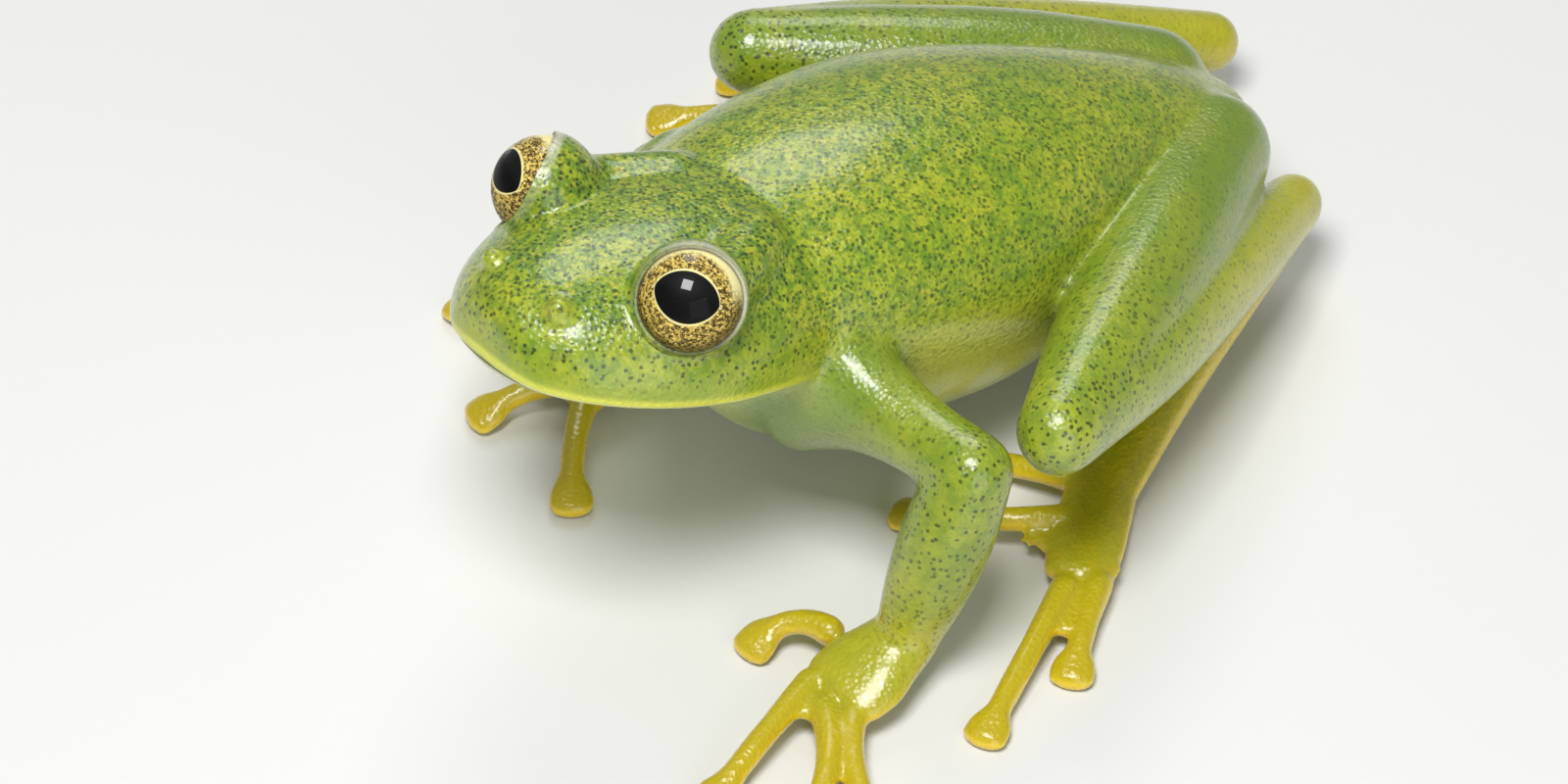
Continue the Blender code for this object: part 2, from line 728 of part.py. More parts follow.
def build():
    """Model the frog whole, part it, and name the pieces."""
    for item in list(bpy.data.objects):
        bpy.data.objects.remove(item)
    body = whole_frog()
    under = plate("cut", (0, 2, FLOOR_FLAT - 5), (0, 0, 1), (1, 0, 0), 60, 60, 10)
    cutters = [under, plate_at_neck()]
    for side in ("left", "right"):
        cutters += joint_cuts(side)
    cutters.append(mouth_cut())
    for side in (1, -1):
        cutters += [lid_cut(side), nostril_cut(side)]
    for cutter in cutters:
        cut_away(body, cutter)
    pieces = named_pieces(body)
    for side, name in ((1, "left"), (-1, "right")):
        pieces.append(eye_body(side, f"eye_{name}"))
    stand(pieces)
    for piece in pieces:
        dress(piece)


def named_pieces(body):
    """The closed surfaces of the parted body, each as an object with its own name."""
    places = name_places()
    meshes = pieces_of(body)
    bpy.data.objects.remove(body)
    pieces = []
    for mesh in meshes:
        inside = [name for name, place in places.items() if holds(mesh, place)]
        if len(inside) == 1:
            pieces.append(add_object(inside[0], mesh))
            places.pop(inside[0])
    if places:
        raise ValueError(f"not parted: {sorted(places)}")
    return pieces


def stand(pieces):
    """Set the frog on the floor with the middle of its length and width at the origin."""
    places = [vertices(piece) for piece in pieces]
    low = np.min([rows.min(axis=0) for rows in places], axis=0)
    high = np.max([rows.max(axis=0) for rows in places], axis=0)
    middle = (low + high) / 2
    for piece, rows in zip(pieces, places):
        set_vertices(piece, rows - (middle[0], middle[1], low[2]))


def plate_at_neck():
    """Cutter between the head and the torso."""
    frame = head_matrix()
    place = frame @ Vector((0, *NECK))
    tilt = math.radians(NECK_TILT)
    across = frame.to_3x3() @ Vector((0, math.cos(tilt), -math.sin(tilt)))
    return plate("cut", place, across, (1, 0, 0), 10.5, 9.4, GAP)


build()
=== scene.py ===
"""Looks of a glass frog at rest, life size: one skin, two eyes, and the studio round them.

The floor is z = 0, the snout points to -Y and the frog's left side is +X. Sizes and places
are in millimetres and angles in degrees, in the axes that the frog is modelled in. The
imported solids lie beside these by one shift, which is found from the left eye.
"""

import logging
import math
from dataclasses import dataclass, field
from enum import Enum

import bmesh
import bpy
import numpy as np
from mathutils import Matrix, Vector


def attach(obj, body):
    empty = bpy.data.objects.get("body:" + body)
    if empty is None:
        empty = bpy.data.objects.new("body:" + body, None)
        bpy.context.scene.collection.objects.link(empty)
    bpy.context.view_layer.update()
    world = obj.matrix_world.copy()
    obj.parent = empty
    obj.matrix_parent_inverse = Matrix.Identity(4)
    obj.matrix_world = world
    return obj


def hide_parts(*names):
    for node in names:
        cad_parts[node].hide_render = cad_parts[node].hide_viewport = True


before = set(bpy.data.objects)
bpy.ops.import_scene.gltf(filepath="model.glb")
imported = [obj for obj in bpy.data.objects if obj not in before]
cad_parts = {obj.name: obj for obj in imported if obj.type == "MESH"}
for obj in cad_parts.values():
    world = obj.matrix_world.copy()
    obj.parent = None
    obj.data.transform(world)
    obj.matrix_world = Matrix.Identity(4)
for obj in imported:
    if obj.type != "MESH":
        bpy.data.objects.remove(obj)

MM = 0.001
PICTURE_WIDTH = 1600
CAP_ANGLES = (12, 30, 50, 70)
SECTION_POINTS = 64
BALL_SEGMENTS = (40, 24)
HOOP_POINTS = (96, 16)

log = logging.getLogger("glass_frog")

Pair = tuple[float, float]
Triple = tuple[float, float, float]
Places = np.ndarray


class Side(Enum):
    """The frog's two sides, with the sign that X has on each."""

    LEFT = 1
    RIGHT = -1

    @property
    def word(self) -> str:
        """The side's name in lower case."""
        return self.name.lower()


class Hue(Enum):
    """Colours of the skin and the eyes, with painted shade and painted glow among them, as linear red, green
    and blue.
    """

    LEAF = (0.270, 0.375, 0.014)
    MOSS = (0.095, 0.215, 0.016)
    LIME = (0.410, 0.460, 0.024)
    FLECK = (0.660, 0.520, 0.020)
    DEEP = (0.022, 0.055, 0.008)
    DOT = (0.010, 0.020, 0.006)
    TEAL = (0.125, 0.225, 0.026)
    AMBER = (0.560, 0.430, 0.004)
    # Painted glow of light through the thin edges of the hands, feet and digits.
    GOLD_EDGE = (0.940, 0.660, 0.006)
    OLIVE = (0.400, 0.390, 0.010)
    PALE = (0.600, 0.630, 0.070)
    BELLY = (0.500, 0.570, 0.200)
    LIP = (0.740, 0.760, 0.060)
    LID = (0.600, 0.600, 0.440)
    # Painted shade on the eyeball where it goes in under the lids.
    LID_LINE = (0.110, 0.075, 0.080)
    # Painted shade in the mouth's crease and in the nostril holes.
    MOUTH = (0.060, 0.070, 0.020)
    IRIS = (0.600, 0.410, 0.060)
    IRIS_BRIGHT = (0.950, 0.740, 0.220)
    IRIS_DARK = (0.050, 0.026, 0.008)
    CREAM = (1.000, 0.900, 0.420)
    PUPIL = (0.003, 0.003, 0.003)
    FLOOR = (0.800, 0.800, 0.780)


class Wire:
    """A shader socket that takes part in plain arithmetic."""

    def __init__(self, board: "Board", socket: bpy.types.NodeSocket) -> None:
        """Keep the socket and the board that its nodes are on.

        Args:
            board: The board of the material.
            socket: An output of one of its nodes.
        """
        self.board = board
        self.socket = socket

    def _maths(self, operation: str, first: "Wire | float", second: "Wire | float") -> "Wire":
        """Add a Math node.

        Args:
            operation: What the node does.
            first: Its first value.
            second: Its second value.

        Returns:
            The node's output.
        """
        return self.board.node("ShaderNodeMath", {"operation": operation}, {0: first, 1: second})

    def __add__(self, other: "Wire | float") -> "Wire":
        """Sum of two values."""
        return self._maths("ADD", self, other)

    def __radd__(self, other: float) -> "Wire":
        """Sum of two values."""
        return self._maths("ADD", other, self)

    def __sub__(self, other: "Wire | float") -> "Wire":
        """Difference of two values."""
        return self._maths("SUBTRACT", self, other)

    def __rsub__(self, other: float) -> "Wire":
        """Difference of two values."""
        return self._maths("SUBTRACT", other, self)

    def __mul__(self, other: "Wire | float") -> "Wire":
        """Product of two values."""
        return self._maths("MULTIPLY", self, other)

    def __rmul__(self, other: float) -> "Wire":
        """Product of two values."""
        return self._maths("MULTIPLY", other, self)

    def __truediv__(self, other: "Wire | float") -> "Wire":
        """Quotient of two values."""
        return self._maths("DIVIDE", self, other)

    def __pow__(self, other: "Wire | float") -> "Wire":
        """Power of two values."""
        return self._maths("POWER", self, other)

    def least(self, other: "Wire | float") -> "Wire":
        """Smaller of two values."""
        return self._maths("MINIMUM", self, other)

    def most(self, other: "Wire | float") -> "Wire":
        """Larger of two values."""
        return self._maths("MAXIMUM", self, other)

    def rise(self, low: float, high: float) -> "Wire":
        """Smooth step from 0 at one value to 1 at another.

        Args:
            low: Value at which the step is 0.
            high: Value at which the step is 1.

        Returns:
            The step, which falls where high is under low.
        """
        settings = {"interpolation_type": "SMOOTHSTEP"}
        if high < low:
            inputs = {"Value": self, "From Min": high, "From Max": low, "To Min": 1.0, "To Max": 0.0}
        else:
            inputs = {"Value": self, "From Min": low, "From Max": high}
        return self.board.node("ShaderNodeMapRange", settings, inputs)


class Board:
    """Nodes of one material, with the material's Principled shader."""

    def __init__(self, name: str) -> None:
        """Make the material.

        Args:
            name: The material's name.
        """
        self.material = bpy.data.materials.new(name)
        self.material.use_nodes = True
        self.tree = self.material.node_tree
        self.shader = self.tree.nodes["Principled BSDF"]

    def node(self, kind: str, settings: dict, inputs: dict, output: int | str = 0) -> Wire:
        """Add any node.

        Args:
            kind: The node's type.
            settings: Its settings by name, which are set first.
            inputs: Value or wire of each of its sockets, by name or number.
            output: The output that is wanted, by name or number.

        Returns:
            The wanted output.
        """
        made = self.tree.nodes.new(kind)
        for name, value in settings.items():
            setattr(made, name, value)
        for name, value in inputs.items():
            self.feed(made.inputs[name], value)
        return Wire(self, made.outputs[output])

    def feed(self, socket: bpy.types.NodeSocket, value: object) -> None:
        """Link a wire to a socket, or set the socket's own value.

        Args:
            socket: The socket.
            value: A wire, a number, a colour or a vector.
        """
        if isinstance(value, Wire):
            self.tree.links.new(value.socket, socket)
        elif isinstance(value, Hue):
            socket.default_value = (*value.value, 1.0)
        else:
            socket.default_value = value

    def set(self, values: dict) -> None:
        """Feed sockets of the Principled shader.

        Args:
            values: Value or wire of each socket, by its name.
        """
        for name, value in values.items():
            self.feed(self.shader.inputs[name], value)

    def blend(self, share: "Wire | float", first: "Wire | Hue", second: "Wire | Hue") -> Wire:
        """Mix two colours.

        Args:
            share: Share of the second colour.
            first: First colour.
            second: Second colour.

        Returns:
            The mixed colour.
        """
        settings = {"data_type": "RGBA", "clamp_factor": True}
        return self.node("ShaderNodeMix", settings, {0: share, 6: first, 7: second}, 2)

    def place(self) -> Wire:
        """Place on the object in millimetres."""
        here = self.node("ShaderNodeTexCoord", {}, {}, "Object")
        settings = {"operation": "SCALE"}
        return self.node("ShaderNodeVectorMath", settings, {0: here, "Scale": 1 / MM})

    def shifted(self, place: Wire, amount: float, scale: float) -> Wire:
        """Place pushed about by noise, so that spots come out uneven.

        Args:
            place: Place in millimetres.
            amount: How far it is pushed, in millimetres.
            scale: Scale of the noise.

        Returns:
            The new place.
        """
        inputs: dict = {"Vector": place, "Scale": scale, "Detail": 1.0}
        colour = self.node("ShaderNodeTexNoise", {}, inputs, "Color")
        settings = {"operation": "MULTIPLY_ADD"}
        return self.node("ShaderNodeVectorMath", settings, {0: colour, 1: (amount,) * 3, 2: place})

    def noise(self, place: Wire, scale: float, detail: float = 2.0, rough: float = 0.5) -> Wire:
        """Soft noise from 0 to 1.

        Args:
            place: Place in millimetres.
            scale: How many waves go in a millimetre.
            detail: How many finer layers it has.
            rough: How strong the finer layers are.

        Returns:
            The noise.
        """
        inputs = {"Vector": place, "Scale": scale, "Detail": detail, "Roughness": rough}
        return self.node("ShaderNodeTexNoise", {}, inputs, 0)

    def cells(self, place: Wire, scale: float, uneven: float = 1.0) -> Wire:
        """Distance to the nearest of many scattered points.

        Args:
            place: Place in millimetres.
            scale: How many points go in a millimetre.
            uneven: How uneven they lie, from 0 to 1.

        Returns:
            The distance, as a share of the points' spacing.
        """
        inputs = {"Vector": place, "Scale": scale, "Randomness": uneven}
        return self.node("ShaderNodeTexVoronoi", {}, inputs, "Distance")

    def mask(self, name: str) -> Wire:
        """Value that the mesh carries at each vertex.

        Args:
            name: The value's name.

        Returns:
            The value.
        """
        return self.node("ShaderNodeAttribute", {"attribute_name": name}, {}, "Fac")

    def bump(self, height: Wire, strength: float, depth: float, normal: Wire | None = None) -> Wire:
        """Relief that bends the light and not the surface.

        Args:
            height: Height from 0 to 1.
            strength: Strength of the relief.
            depth: Depth of the relief in millimetres.
            normal: Relief that this one lies on.

        Returns:
            The bent normal.
        """
        inputs: dict = {"Height": height, "Strength": strength, "Distance": depth * MM}
        if normal is not None:
            inputs["Normal"] = normal
        return self.node("ShaderNodeBump", {}, inputs)


def through(rows: list | tuple, count: int) -> np.ndarray:
    """Catmull-Rom curve through rows of numbers.

    Args:
        rows: Rows that the curve passes through.
        count: How many rows come out.

    Returns:
        The rows along the curve.
    """
    rows = np.array(rows, dtype=float)
    knots = np.vstack([2 * rows[0] - rows[1], rows, 2 * rows[-1] - rows[-2]])
    result = []
    for place in np.linspace(0, len(rows) - 1, count):
        index = min(int(place), len(rows) - 2)
        t = place - index
        a, b, c, d = knots[index:index + 4]
        bend = 2 * b + (c - a) * t + (2 * a - 5 * b + 4 * c - d) * t**2
        result.append(0.5 * (bend + (3 * b - a - 3 * c + d) * t**3))
    return np.array(result)


def step(values: np.ndarray, low: float, high: float) -> np.ndarray:
    """Smooth step of an array, from 0 at low to 1 at high.

    Args:
        values: The array.
        low: Value at which the step is 0.
        high: Value at which the step is 1.

    Returns:
        The steps.
    """
    t = np.clip((values - low) / (high - low), 0, 1)
    return t * t * (3 - 2 * t)


def link(name: str, data: bpy.types.ID) -> bpy.types.Object:
    """Put a mesh, a light or a camera in the scene.

    Args:
        name: Name of the new object.
        data: What it shows.

    Returns:
        The object.
    """
    item = bpy.data.objects.new(name, data)
    bpy.context.scene.collection.objects.link(item)
    return item


def form_object(name: str, form: bmesh.types.BMesh) -> bpy.types.Object:
    """Turn a form under construction into an object.

    Args:
        name: Name of the new object.
        form: The form, which is freed.

    Returns:
        The object.
    """
    bmesh.ops.recalc_face_normals(form, faces=form.faces)
    mesh = bpy.data.meshes.new(name)
    form.to_mesh(mesh)
    form.free()
    return link(name, mesh)


def loft(name: str, rings: list) -> bpy.types.Object:
    """Closed body over rings of points, with a pole at each end.

    Args:
        name: Name of the new object.
        rings: Rings of points in millimetres.

    Returns:
        The object.
    """
    form = bmesh.new()
    loops = [[form.verts.new(Vector(point) * MM) for point in ring] for ring in rings]
    for low, high in zip(loops, loops[1:]):
        for index in range(len(low)):
            after = (index + 1) % len(low)
            form.faces.new((low[index], low[after], high[after], high[index]))
    for loop in (loops[0], loops[-1]):
        pole = form.verts.new(sum((vert.co for vert in loop), Vector()) / len(loop))
        for index, vert in enumerate(loop):
            form.faces.new((vert, loop[(index + 1) % len(loop)], pole))
    return form_object(name, form)


def tube(name: str, stations: list, up: Triple, sides: int, steps: int) -> bpy.types.Object:
    """Soft tube through stations, with round ends.

    Args:
        name: Name of the new object.
        stations: Rows of x, y, z, half width and half height.
        up: Which way the height is measured.
        sides: Points round the tube.
        steps: Rings along it.

    Returns:
        The object.
    """
    rows = through(stations, steps)
    places = rows[:, :3]
    slopes = np.gradient(places, axis=0)
    slopes /= np.linalg.norm(slopes, axis=1)[:, None]
    angles = np.linspace(0, 2 * math.pi, sides, endpoint=False)

    def ring(place: np.ndarray, slope: np.ndarray, width: float, height: float) -> list:
        """One ring of the tube."""
        ahead = Vector(slope)
        right = ahead.cross(Vector(up)).normalized()
        rise = right.cross(ahead)
        middle = Vector(place)
        return [middle + right * width * math.cos(a) + rise * height * math.sin(a) for a in angles]

    rings = []
    for angle in np.radians(CAP_ANGLES):
        back = places[0] - slopes[0] * rows[0, 4] * math.cos(angle)
        rings.append(ring(back, slopes[0], *(rows[0, 3:] * math.sin(angle))))
    for row, slope in zip(rows, slopes):
        rings.append(ring(row[:3], slope, row[3], row[4]))
    for angle in np.radians(CAP_ANGLES[::-1]):
        ahead = places[-1] + slopes[-1] * rows[-1, 4] * math.cos(angle)
        rings.append(ring(ahead, slopes[-1], *(rows[-1, 3:] * math.sin(angle))))
    return loft(name, rings)


def section(half_width: float, rise: float, drop: float, high: Pair, low: Pair) -> list:
    """Cross-section whose widest line is at z = 0.

    Args:
        half_width: Half width.
        rise: Height above the widest line.
        drop: Depth under it.
        high: How round it is above the widest line, at the side and at the top.
        low: How round it is under that line, at the side and at the bottom.

    Returns:
        Points x, z.
    """
    points = []
    for angle in np.linspace(0, 2 * math.pi, SECTION_POINTS, endpoint=False):
        across, upward = math.cos(angle), math.sin(angle)
        height = rise if upward > 0 else drop
        at_side, at_end = high if upward > 0 else low
        x = half_width * math.copysign(abs(across)**at_side, across)
        points.append((x, height * math.copysign(abs(upward)**at_end, upward)))
    return points


def ball(name: str, place: Vector, radius: float) -> bpy.types.Object:
    """Round body.

    Args:
        name: Name of the new object.
        place: Its middle.
        radius: Its radius.

    Returns:
        The object.
    """
    form = bmesh.new()
    around, over = BALL_SEGMENTS
    bmesh.ops.create_uvsphere(form, u_segments=around, v_segments=over, radius=radius * MM)
    bmesh.ops.translate(form, verts=form.verts, vec=place * MM)
    return form_object(name, form)


def hoop(name: str, matrix: Matrix, major: float, minor: float) -> bpy.types.Object:
    """Round ring about the Z axis of a matrix.

    Args:
        name: Name of the new object.
        matrix: Place of the ring, in millimetres.
        major: Radius of the ring.
        minor: Radius of its stock.

    Returns:
        The object.
    """
    form = bmesh.new()
    rows = []
    for around in np.linspace(0, 2 * math.pi, HOOP_POINTS[0], endpoint=False):
        row = []
        for about in np.linspace(0, 2 * math.pi, HOOP_POINTS[1], endpoint=False):
            reach = major + minor * math.cos(about)
            point = Vector((reach * math.cos(around), reach * math.sin(around), minor * math.sin(about)))
            row.append(form.verts.new(matrix @ point * MM))
        rows.append(row)
    for row, after in zip(rows, rows[1:] + rows[:1]):
        for index in range(len(row)):
            beside = (index + 1) % len(row)
            form.faces.new((row[index], after[index], after[beside], row[beside]))
    return form_object(name, form)


def settle(item: bpy.types.Object) -> None:
    """Apply an object's modifiers to its mesh.

    Args:
        item: The object.
    """
    bpy.context.view_layer.update()
    graph = bpy.context.evaluated_depsgraph_get()
    mesh = bpy.data.meshes.new_from_object(item.evaluated_get(graph))
    item.modifiers.clear()
    item.data = mesh


def combine(item: bpy.types.Object, operation: str, others: list) -> None:
    """Join closed objects to an object, or take them out of it.

    Args:
        item: The object.
        operation: UNION or DIFFERENCE.
        others: The other objects, which are removed.
    """
    group = bpy.data.collections.new("joining")
    bpy.context.scene.collection.children.link(group)
    for other in others:
        bpy.context.scene.collection.objects.unlink(other)
        group.objects.link(other)
    joint = item.modifiers.new("join", "BOOLEAN")
    joint.operation = operation
    joint.operand_type = "COLLECTION"
    joint.collection = group
    joint.solver = "MANIFOLD"
    settle(item)
    for other in others:
        bpy.data.objects.remove(other)
    bpy.data.collections.remove(group)


def corners(item: bpy.types.Object) -> Places:
    """Vertex places of an object in millimetres."""
    flat = np.empty(len(item.data.vertices) * 3, dtype=np.float32)
    item.data.vertices.foreach_get("co", flat)
    return flat.reshape(-1, 3).astype(float) / MM


def loft_depth(table: np.ndarray, places: Places) -> tuple:
    """How far places lie outside a loft, and how far along it.

    Args:
        table: Rows of y, half width, height of the widest line, rise and drop.
        places: Places in the loft's own axes, in millimetres.

    Returns:
        Distances in millimetres, and shares of the length from the front.
    """
    start, end = table[0, 0], table[-1, 0]
    width, middle, rise, drop = (np.interp(places[:, 1], table[:, 0], column) for column in table.T[1:])
    up = places[:, 2] - middle
    height = np.where(up > 0, rise, drop)
    off = np.hypot(places[:, 0] / width, up / height) - 1
    beyond = np.maximum(places[:, 1] - end, 0) + np.maximum(start - places[:, 1], 0)
    share = (places[:, 1] - start) / (end - start)
    return off * np.minimum(width, height) + beyond, np.clip(share, 0, 1)


@dataclass(frozen=True)
class Tones:
    """How strongly a stretch of skin has each marking, from 0 to 1."""

    dense: float = 0.0
    dots: float = 0.0
    teal: float = 0.0
    amber: float = 0.0
    pale: float = 0.0

    def row(self) -> np.ndarray:
        """The strengths in order."""
        return np.array([self.dense, self.dots, self.teal, self.amber, self.pale])


@dataclass
class Head:
    """Head with its lids, nostrils and mouth, in axes whose origin is between the eyes."""

    place: Triple = (0.25, -7.80, 10.30)
    yaw: float = 3.5
    pitch: float = -15.5
    roll: float = -5.3
    eye_place: Triple = (2.92, -0.25, 0.10)
    eye_radius: float = 1.36
    eye_azimuth: float = 49.0
    eye_rise: float = 18.0
    lid_ahead: float = 0.35
    lid_radius: float = 1.48
    lid_edge: float = 0.075
    lid_play: float = 0.02
    lid_overlap: float = 0.01
    lid_depth: float = 3.0
    lid_spread: float = 1.5
    lid_points: int = 96
    nostril: Triple = (1.33, -3.10, -0.35)
    nostril_radius: float = 0.32
    nostril_hole: float = 0.075
    nostril_facing: Triple = (0.75, -0.60, 0.45)
    mouth_drop: float = 0.19
    mouth_depth: float = 0.26
    mouth_width: float = 0.035
    mouth_corner: float = 3.0
    mouth_fade: float = 1.2
    mouth_turn: float = 1.0
    mouth_outside: float = 0.4
    mouth_flare: float = 3.0
    mouth_taper: float = 0.6
    mouth_points: int = 60
    rings: int = 60
    high_round: Pair = (0.98, 0.92)
    low_round: Pair = (1.25, 1.60)
    brow_mesh: tuple = (32, 20)
    brow: tuple = (
        (2.75, 0.85, -0.20, 0.90, 0.95),
        (2.25, 1.80, -0.18, 0.98, 1.02),
        (1.60, 2.90, 0.00, 0.98, 1.00),
    )
    stations: tuple = (
        (-4.10, 0.95, -2.16, 1.01, 0.22),
        (-3.85, 1.75, -2.25, 1.56, 0.42),
        (-3.05, 2.69, -2.30, 2.16, 0.75),
        (-1.90, 3.45, -2.36, 2.60, 1.05),
        (-0.50, 3.99, -2.43, 3.05, 1.35),
        (1.00, 4.20, -2.54, 3.39, 1.60),
        (2.50, 4.15, -2.64, 3.54, 1.85),
        (4.00, 3.95, -2.70, 3.50, 2.10),
        (5.60, 3.45, -2.73, 3.13, 2.15),
        (7.00, 2.60, -2.68, 2.38, 1.90),
    )

    def matrix(self) -> Matrix:
        """Place of the head's axes in millimetres."""
        turn = Matrix.Rotation(math.radians(self.yaw), 4, "Z")
        nod = Matrix.Rotation(math.radians(self.pitch), 4, "X")
        lean = Matrix.Rotation(math.radians(self.roll), 4, "Y")
        return Matrix.Translation(self.place) @ turn @ nod @ lean

    def eye(self, side: Side) -> Vector:
        """Middle of an eyeball in the head's axes."""
        x, y, z = self.eye_place
        return Vector((side.value * x, y, z))

    def facing(self, side: Side) -> Vector:
        """Direction that a pair of lids faces, in the head's axes."""
        azimuth, rise = math.radians(self.eye_azimuth), math.radians(self.eye_rise)
        flat = math.cos(rise)
        return Vector((side.value * math.sin(azimuth) * flat, -math.cos(azimuth) * flat, math.sin(rise)))

    def lid_frame(self, side: Side, ahead: float) -> Matrix:
        """Axes across an eye, with Z the way its lids face.

        Args:
            side: Which eye.
            ahead: How far before the middle of the eye they lie.

        Returns:
            The axes, in millimetres.
        """
        matrix = self.matrix()
        axis = matrix.to_3x3() @ self.facing(side)
        turn = axis.to_track_quat("Z", "Y").to_matrix().to_4x4()
        return Matrix.Translation(matrix @ self.eye(side) + axis * ahead) @ turn

    def nostril_place(self, side: Side) -> Vector:
        """Middle of a nostril's swelling in the head's axes."""
        x, y, z = self.nostril
        return Vector((side.value * x, y, z))

    def forms(self) -> list:
        """Solids that the head is made of, before the lids and mouth are opened."""
        matrix = self.matrix()
        rings = []
        for y, width, lip, rise, drop in through(self.stations, self.rings):
            ring = section(width, rise, drop, self.high_round, self.low_round)
            rings.append([matrix @ Vector((x, y, lip + z)) for x, z in ring])
        pieces = [loft("head_form", rings)]
        for side in Side:
            pieces.append(ball("lid_form", matrix @ self.eye(side), self.lid_radius))
            pieces.append(ball("nostril_form", matrix @ self.nostril_place(side), self.nostril_radius))
            rows = []
            for x, y, z, *sizes in self.brow:
                rows.append((*(matrix @ Vector((side.value * x, y, z))), *sizes))
            pieces.append(tube("brow_form", rows, (0, 0, 1), *self.brow_mesh))
        return pieces

    def lip(self, y: np.ndarray | float) -> tuple:
        """Half width and height of the lip at a place along the head.

        Args:
            y: Place along the head's own Y axis.

        Returns:
            Half width and height.
        """
        table = np.array(self.stations)
        return np.interp(y, table[:, 0], table[:, 1]), np.interp(y, table[:, 0], table[:, 2])

    def mouth(self) -> bpy.types.Object:
        """Cutter of the line of the mouth, a thin wedge from corner to corner."""
        matrix = self.matrix()
        back = np.linspace(self.mouth_corner, self.stations[0][0], self.mouth_points)
        half = self.mouth_width / 2
        open_half, end_half = half * self.mouth_flare, half * self.mouth_taper
        rings = []
        for side, places in ((1, back), (-1, back[::-1])):
            for y in places:
                width, height = self.lip(y)
                lip = Vector((side * width, y, height - self.mouth_drop))
                outward = Vector((lip.x, min(0.0, y + self.mouth_turn), 0)).normalized()
                deep = self.mouth_depth * float(step(np.array(self.mouth_corner - y), 0, self.mouth_fade))
                outside = self.mouth_outside
                profile = ((outside, -open_half), (outside, open_half), (-deep, end_half), (-deep, -end_half))
                rings.append([matrix @ (lip + outward * reach + Vector((0, 0, up))) for reach, up in profile])
        return loft("mouth_cut", rings)

    def nostril_front(self, side: Side) -> Vector:
        """Way that a nostril opens, in the head's axes."""
        x, y, z = self.nostril_facing
        return Vector((side.value * x, y, z)).normalized()

    def nostril_pit(self, side: Side) -> bpy.types.Object:
        """Cutter of the small hole in a nostril."""
        place = self.nostril_place(side) + self.nostril_front(side) * self.nostril_radius
        return ball("nostril_cut", self.matrix() @ place, self.nostril_hole)

    def lid_opening(self, side: Side) -> bpy.types.Object:
        """Cutter that opens the lids in front of an eyeball."""
        form = bmesh.new()
        near = (self.eye_radius + self.lid_play) * MM
        bmesh.ops.create_cone(
            form, cap_ends=True, segments=self.lid_points,
            radius1=near, radius2=near * self.lid_spread, depth=self.lid_depth * MM,
        )
        across = self.lid_frame(side, self.lid_ahead - self.lid_edge + self.lid_depth / 2)
        across.translation *= MM
        form.transform(across)
        return form_object("lid_cut", form)

    def lid_margin(self, side: Side) -> bpy.types.Object:
        """Rounded margin of the lids."""
        matrix = self.lid_frame(side, self.lid_ahead - self.lid_edge)
        return hoop("lid_margin", matrix, self.eye_radius + self.lid_overlap, self.lid_edge)

    def depth(self, places: Places) -> tuple:
        """How far places lie outside the head, and how far back along it."""
        return loft_depth(np.array(self.stations), self.own(places))

    def own(self, places: Places) -> Places:
        """Places in the head's own axes."""
        back = np.array(self.matrix().inverted())
        return places @ back[:3, :3].T + back[:3, 3]


@dataclass
class Trunk:
    """Body from the neck to the vent."""

    stations: tuple = (
        (-6.60, 7.60, 2.90, 1.90, 2.80),
        (-4.60, 7.30, 3.95, 2.75, 4.75),
        (-1.50, 6.85, 4.68, 3.30, 5.20),
        (1.80, 6.25, 4.85, 3.45, 5.00),
        (4.80, 5.60, 4.15, 3.25, 3.90),
        (7.80, 4.95, 2.95, 2.65, 2.35),
        (10.40, 4.25, 2.10, 1.85, 1.65),
        (12.20, 3.65, 1.15, 1.00, 1.00),
    )
    rings: int = 64
    high_round: Pair = (0.95, 0.95)
    low_round: Pair = (0.76, 0.95)

    def form(self) -> bpy.types.Object:
        """Solid of the trunk."""
        rings = []
        for y, middle, width, rise, drop in through(self.stations, self.rings):
            ring = section(width, rise, drop, self.high_round, self.low_round)
            rings.append([Vector((x, y, middle + z)) for x, z in ring])
        return loft("trunk_form", rings)

    def depth(self, places: Places) -> tuple:
        """How far places lie outside the trunk, and how far back along it."""
        return loft_depth(np.array(self.stations)[:, [0, 2, 1, 3, 4]], places)

    def level(self, places: Places) -> np.ndarray:
        """Height of places over the trunk's widest line, as a share of its rise or drop."""
        table = np.array(self.stations)
        rows = [np.interp(places[:, 1], table[:, 0], table[:, column]) for column in (1, 3, 4)]
        up = places[:, 2] - rows[0]
        return up / np.where(up > 0, rows[1], rows[2])


@dataclass
class Limb:
    """One segment of a limb between two joints."""

    start: str
    end: str
    sizes: tuple
    first: Tones
    last: Tones
    up: Triple = (0, 0, 1)


@dataclass
class Digit:
    """One finger or toe: knuckle, heading, length, turn and arch."""

    base: Triple
    heading: float
    length: float
    turn: float
    arch: float


